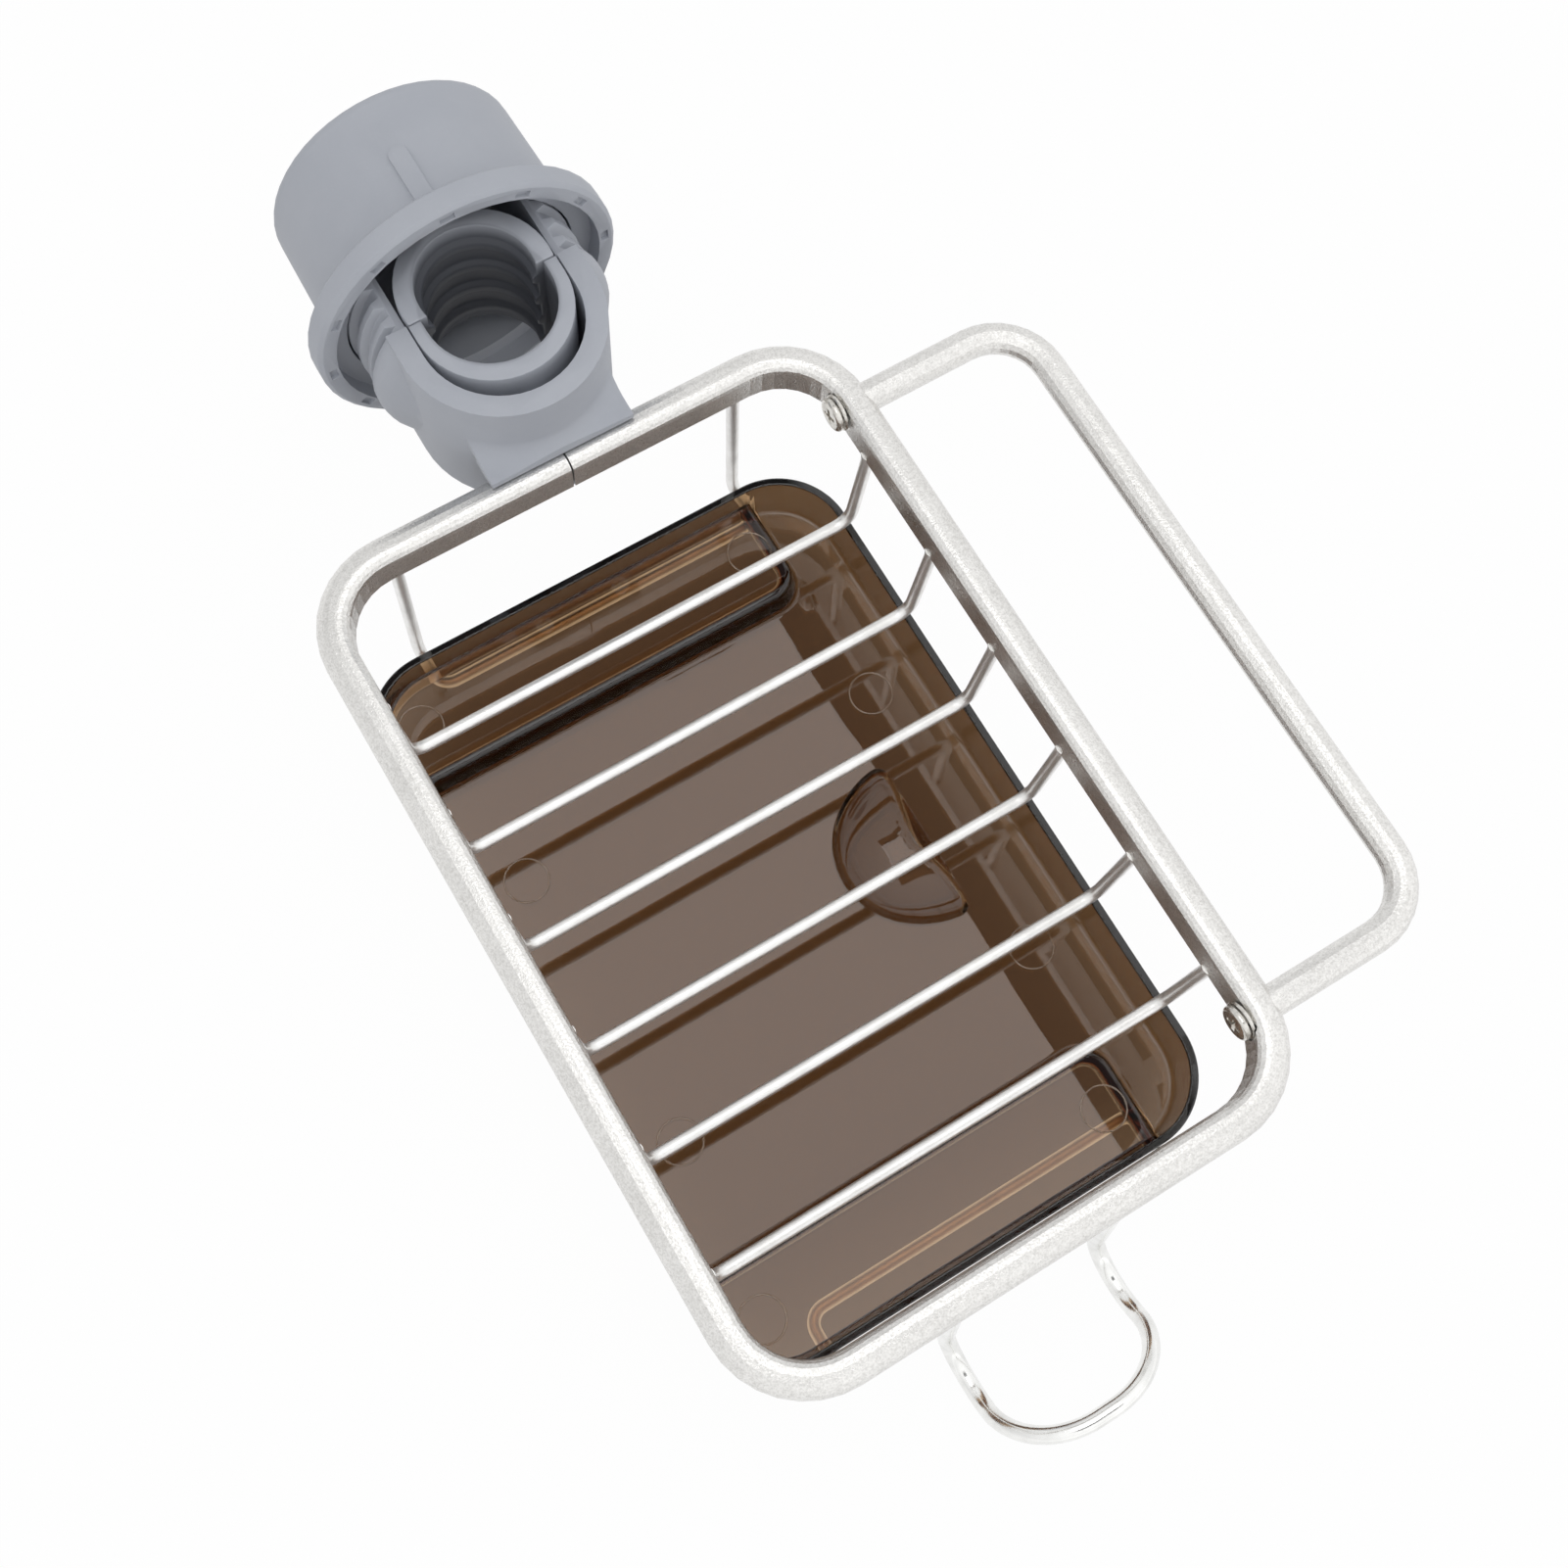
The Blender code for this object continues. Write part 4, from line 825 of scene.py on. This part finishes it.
def turned(profile, steps):
    shape = bmesh.new()
    hoops = []
    for radius, height in profile:
        turns = 1 if radius == 0 else steps
        hoop = []
        for index in range(turns):
            angle = math.tau * index / steps
            hoop.append(shape.verts.new((radius * math.cos(angle), radius * math.sin(angle), height)))
        hoops.append(hoop)
    for first, second in zip(hoops[:-1], hoops[1:]):
        for index in range(steps):
            after = (index + 1) % steps
            corners = [first[index % len(first)], first[after % len(first)]]
            corners += [second[after % len(second)], second[index % len(second)]]
            unique = []
            for corner in corners:
                if corner not in unique:
                    unique.append(corner)
            shape.faces.new(unique)
    bmesh.ops.recalc_face_normals(shape, faces=shape.faces)
    return shape


def meshObject(name, shape):
    mesh = bpy.data.meshes.new(name)
    shape.to_mesh(mesh)
    shape.free()
    item = bpy.data.objects.new(name, mesh)
    bpy.context.scene.collection.objects.link(item)
    return item


def crossTool(radius, height):
    shape = bmesh.new()
    for turn in (0, 90):
        wide = bmesh.ops.create_cube(shape, size=1)["verts"]
        for vert in wide:
            upper = vert.co.z > 0
            half = radius * (screw["crossTop"] if upper else screw["crossFoot"])
            thick = screw["slot"] / 2 if upper else screw["taper"] / 2
            vert.co.x = math.copysign(half, vert.co.x)
            vert.co.y = math.copysign(thick, vert.co.y)
            sunk = screw["depth"] * radius / panHead["head"]
            vert.co.z = height + screw["above"] if upper else height - sunk
        bmesh.ops.rotate(shape, verts=wide, matrix=Matrix.Rotation(math.radians(turn), 3, "Z"))
    return meshObject("crossTool", shape)


def screwProfile(size, length):
    head, height, shank = size["head"], size["height"], size["shank"]
    crown = height * screw["crown"]
    start = shank * screw["pointRise"]
    profile = [(0, -length), (shank * screw["point"], -length), (shank, -length + start)]
    turns = max(int(length / screw["pitch"]) - 1, 1)
    for index in range(turns):
        level = -length + start + (length - start) * index / turns
        profile += [(shank * screw["root"], level + screw["rootRun"]), (shank, level + screw["crestRun"])]
    profile += [(shank, 0), (head * screw["edge"], 0), (head, head * screw["edgeRise"])]
    for index in range(screw["domeSteps"] + 1):
        angle = math.pi / 2 * index / screw["domeSteps"]
        radius = head * (screw["flat"] + (1 - screw["flat"]) * math.cos(angle))
        profile.append((radius, height - crown + crown * math.sin(angle)))
    profile.append((head * screw["topWidth"], height + crown * screw["topRise"]))
    profile.append((0, height + crown * screw["peakRise"]))
    return profile


def makeScrew(name, node, base, axis, size, length):
    item = meshObject(name + "_source", turned(screwProfile(size, length), screw["steps"]))
    tool = crossTool(size["head"], size["height"])
    cut = item.modifiers.new("cross", "BOOLEAN")
    cut.operation = "DIFFERENCE"
    cut.solver = "EXACT"
    cut.object = tool
    cut.use_self = True
    graph = bpy.context.evaluated_depsgraph_get()
    mesh = bpy.data.meshes.new_from_object(item.evaluated_get(graph))
    bpy.data.objects.remove(item, do_unlink=True)
    bpy.data.objects.remove(tool, do_unlink=True)
    facing = Vector(axis).to_track_quat("Z", "Y").to_matrix().to_4x4()
    spin = Matrix.Rotation(math.radians(screw["turn"]), 4, "Z")
    mesh.transform(Matrix.Translation(base) @ facing @ spin)
    mesh.materials.clear()
    mesh.shade_smooth()
    mesh.set_sharp_from_angle(angle=math.radians(screw["sharp"]))
    addPiece(name, mesh, "rack", "nickel", (node,))


def makeWasher(name, node):
    low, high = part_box(node)
    thick = high[0] - low[0]
    outer = (high[2] - low[2]) / 2
    hole, flare, chamfer, edge = washer["hole"], washer["flare"], washer["chamfer"], washer["edge"]
    profile = [(hole, chamfer), (flare, 0), (outer - edge, 0), (outer, edge), (outer, thick - edge),
               (outer - edge, thick), (flare, thick), (hole, thick - chamfer), (hole, chamfer)]
    shape = turned(profile, washer["steps"])
    place = Matrix.Translation((low[0], (low[1] + high[1]) / 2, (low[2] + high[2]) / 2))
    shape.transform(place @ Matrix.Rotation(math.pi / 2, 4, "Y"))
    bmesh.ops.remove_doubles(shape, verts=shape.verts, dist=washer["merge"])
    mesh = bpy.data.meshes.new("washer")
    shape.to_mesh(mesh)
    shape.free()
    mesh.shade_smooth()
    mesh.set_sharp_from_angle(angle=math.radians(screw["sharp"]))
    addPiece(name, mesh, "rack", "nickel", (node,))


for index in ("1", "2"):
    low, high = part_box("towel_screw_" + index)
    base = (low[0] + panHead["seat"], (low[1] + high[1]) / 2, (low[2] + high[2]) / 2)
    makeScrew("pan_screw_" + index, "towel_screw_" + index, base, (-1, 0, 0), panHead, high[0] - base[0])
    low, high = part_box("clamp_screw_" + index)
    base = ((low[0] + high[0]) / 2, (low[1] + high[1]) / 2, low[2] + lipHead["seat"])
    makeScrew("lip_screw_" + index, "clamp_screw_" + index, base, (0, 0, -1), lipHead, high[2] - base[2])
    makeWasher("washer_" + index, "towel_washer_" + index)
print("screws made")

# ejector rings on the tray's floor and raised ends
rings = {"radius": 0.0052, "line": 0.00021, "around": 72, "sides": 8, "floor": -0.057, "block": -0.0497,
         "onFloor": ((-0.0493, -0.093), (0.0441, -0.0939), (-0.0488, -0.1627), (0.0436, -0.1656)),
         "onBlocks": ((-0.053, -0.2048), (0.0355, -0.2052), (-0.053, -0.0505), (0.0355, -0.0505))}


def ringForm():
    inputs = {"Radius": "NodeSocketFloat", "Line": "NodeSocketFloat", "Around": "NodeSocketInt",
              "Sides": "NodeSocketInt", "Material": "NodeSocketMaterial"}
    form = newForm("ringForm", inputs)
    tree, signals = form["tree"], form["signals"]
    values = {"Resolution": signals["Around"], "Radius": signals["Radius"]}
    path = tree.add("GeometryNodeCurvePrimitiveCircle", {}, values)
    values = {"Resolution": signals["Sides"], "Radius": signals["Line"]}
    ring = tree.add("GeometryNodeCurvePrimitiveCircle", {}, values)
    line = tree.add("GeometryNodeCurveToMesh", {}, {"Curve": path, "Profile Curve": ring})
    spread = tree.add("GeometryNodeInstanceOnPoints", {}, {"Points": signals["Geometry"], "Instance": line})
    closeForm(form, spread)
    return form


def makeRings():
    points = [(x, y, rings["floor"]) for x, y in rings["onFloor"]]
    points += [(x, y, rings["block"]) for x, y in rings["onBlocks"]]
    base = bpy.data.meshes.new("ring_points")
    base.from_pydata(points, [], [])
    values = {"Radius": rings["radius"], "Line": rings["line"], "Around": rings["around"],
              "Sides": rings["sides"], "Material": finishes["smoked"]}
    addPiece("tray_rings", grow(ringForm(), base, values), "tray", "smoked")


makeRings()
print("tray rings made")

# studio; the gap is the dark of the sky behind the panel, as shares of its height; the floor's under colour
# is a painted shade seen through the tray
studio = {"floorDrop": 0.0004, "floorSize": 6.0, "floorColour": (0.7, 0.7, 0.7), "lift": 0.97, "mirror": 0.85,
          "under": 0.66, "paintedShadeColour": (0.104, 0.068, 0.043), "panelPlace": (-0.03, -0.095, 0.95),
          "panelSize": (0.636, 0.7), "shine": 1.66, "sky": 1.34, "skyAlong": 0.24, "skyAcross": 0.1,
          "levels": ((0.0, 0.5), (0.5, 0.76), (0.7, 0.68), (0.93, 0.8), (1.0, 0.9)), "gap": 0.88,
          "gapAcross": (-0.37, -0.35, 0.3, 0.31), "gapAlong": (-0.47, -0.45, 0.52, 0.54), "horizon": 0.05}


def makeFloor():
    low = cadBox[0][2] - studio["floorDrop"]
    half = studio["floorSize"] / 2
    shape = bmesh.new()
    corners = ((-half, -half), (half, -half), (half, half), (-half, half))
    shape.faces.new([shape.verts.new((x, y, low)) for x, y in corners])
    floor = meshObject("studioFloor", shape)
    material = bpy.data.materials.new("studioFloor")
    material.use_nodes = True
    tree = Tree(material.node_tree)
    seen = tree.add("ShaderNodeLightPath", {}, {}, "Is Camera Ray")
    through = tree.add("ShaderNodeLightPath", {}, {}, "Is Transmission Ray")
    plain = tree.add("ShaderNodeBsdfDiffuse", {}, {"Color": studio["floorColour"]})
    white = tree.add("ShaderNodeEmission", {}, {"Color": (1, 1, 1), "Strength": 1.0})
    # painted shade under the smoked tray: a dark glow, mixed with the plain floor, that shows only to rays
    # through the tray
    shade = tree.add("ShaderNodeEmission", {}, {"Color": studio["paintedShadeColour"], "Strength": 1.0})
    below = tree.add("ShaderNodeMixShader", {}, {0: through * studio["under"], 1: plain, 2: shade})
    mirrored = tree.add("ShaderNodeLightPath", {}, {}, "Is Glossy Ray")
    clear = seen * studio["lift"] + mirrored * (1 - through) * studio["mirror"]
    mixed = tree.add("ShaderNodeMixShader", {}, {0: clear, 1: below, 2: white})
    tree.add("ShaderNodeOutputMaterial", {}, {"Surface": mixed})
    floor.data.materials.append(material)


def makeWorld():
    world = bpy.data.worlds.new("studioRoom")
    world.use_nodes = True
    tree = Tree(world.node_tree)
    ray = tree.add("ShaderNodeLightPath", {}, {}, "Is Camera Ray")
    place = tree.add("ShaderNodeTexCoord", {}, {}, "Generated")
    across, along, up = [tree.add("ShaderNodeSeparateXYZ", {}, {0: place}, axis) for axis in (0, 1, 2)]
    level = up * 0.5 + 0.5
    stops = [(place, (grey, grey, grey)) for place, grey in studio["levels"]]
    colour = tree.add("ShaderNodeValToRGB", {"stops": stops}, {0: level})
    # dark behind the overhead panel and just past its edges
    height = up.work("MAXIMUM", up, studio["horizon"])
    gap = (across / height).window(*studio["gapAcross"]) * (along / height).window(*studio["gapAlong"])
    # darker beyond the clamp, brighter beyond the hook and the towel loop
    strength = studio["sky"] - along * studio["skyAlong"] + across * studio["skyAcross"]
    strength = strength * (1 - gap * studio["gap"])
    room = tree.add("ShaderNodeBackground", {}, {"Color": colour, "Strength": strength})
    white = tree.add("ShaderNodeBackground", {}, {"Color": (1, 1, 1), "Strength": 1.0})
    mixed = tree.add("ShaderNodeMixShader", {}, {0: ray, 1: room, 2: white})
    tree.add("ShaderNodeOutputWorld", {}, {"Surface": mixed})
    bpy.context.scene.world = world


def makeLamp(name, place, size, shine):
    lamp = bpy.data.lights.new(name, "AREA")
    lamp.shape = "RECTANGLE"
    lamp.size = size[0]
    lamp.size_y = size[1]
    lamp.energy = shine * math.pi * size[0] * size[1]
    item = bpy.data.objects.new(name, lamp)
    bpy.context.scene.collection.objects.link(item)
    item.matrix_world = Matrix.Translation(place)


view = {"place": (-0.072053, -0.201618, 0.368435), "right": (0.855317, -0.515294, 0.053892),
        "up": (0.480499, 0.827837, 0.289493), "back": (-0.193788, -0.221713, 0.955662),
        "lens": 43.233, "sensor": 36, "near": 0.01}


def makeCamera():
    lens = bpy.data.cameras.new("photoView")
    lens.sensor_width = view["sensor"]
    lens.lens = view["lens"]
    lens.clip_start = view["near"]
    item = bpy.data.objects.new("photoView", lens)
    bpy.context.scene.collection.objects.link(item)
    facing = Matrix((view["right"], view["up"], view["back"])).transposed().to_4x4()
    item.matrix_world = Matrix.Translation(view["place"]) @ facing
    bpy.context.scene.camera = item


makeFloor()
makeWorld()
makeLamp("overheadPanel", studio["panelPlace"], studio["panelSize"], studio["shine"])
makeCamera()
bpy.context.scene.view_settings.view_transform = "Standard"
print("studio made")
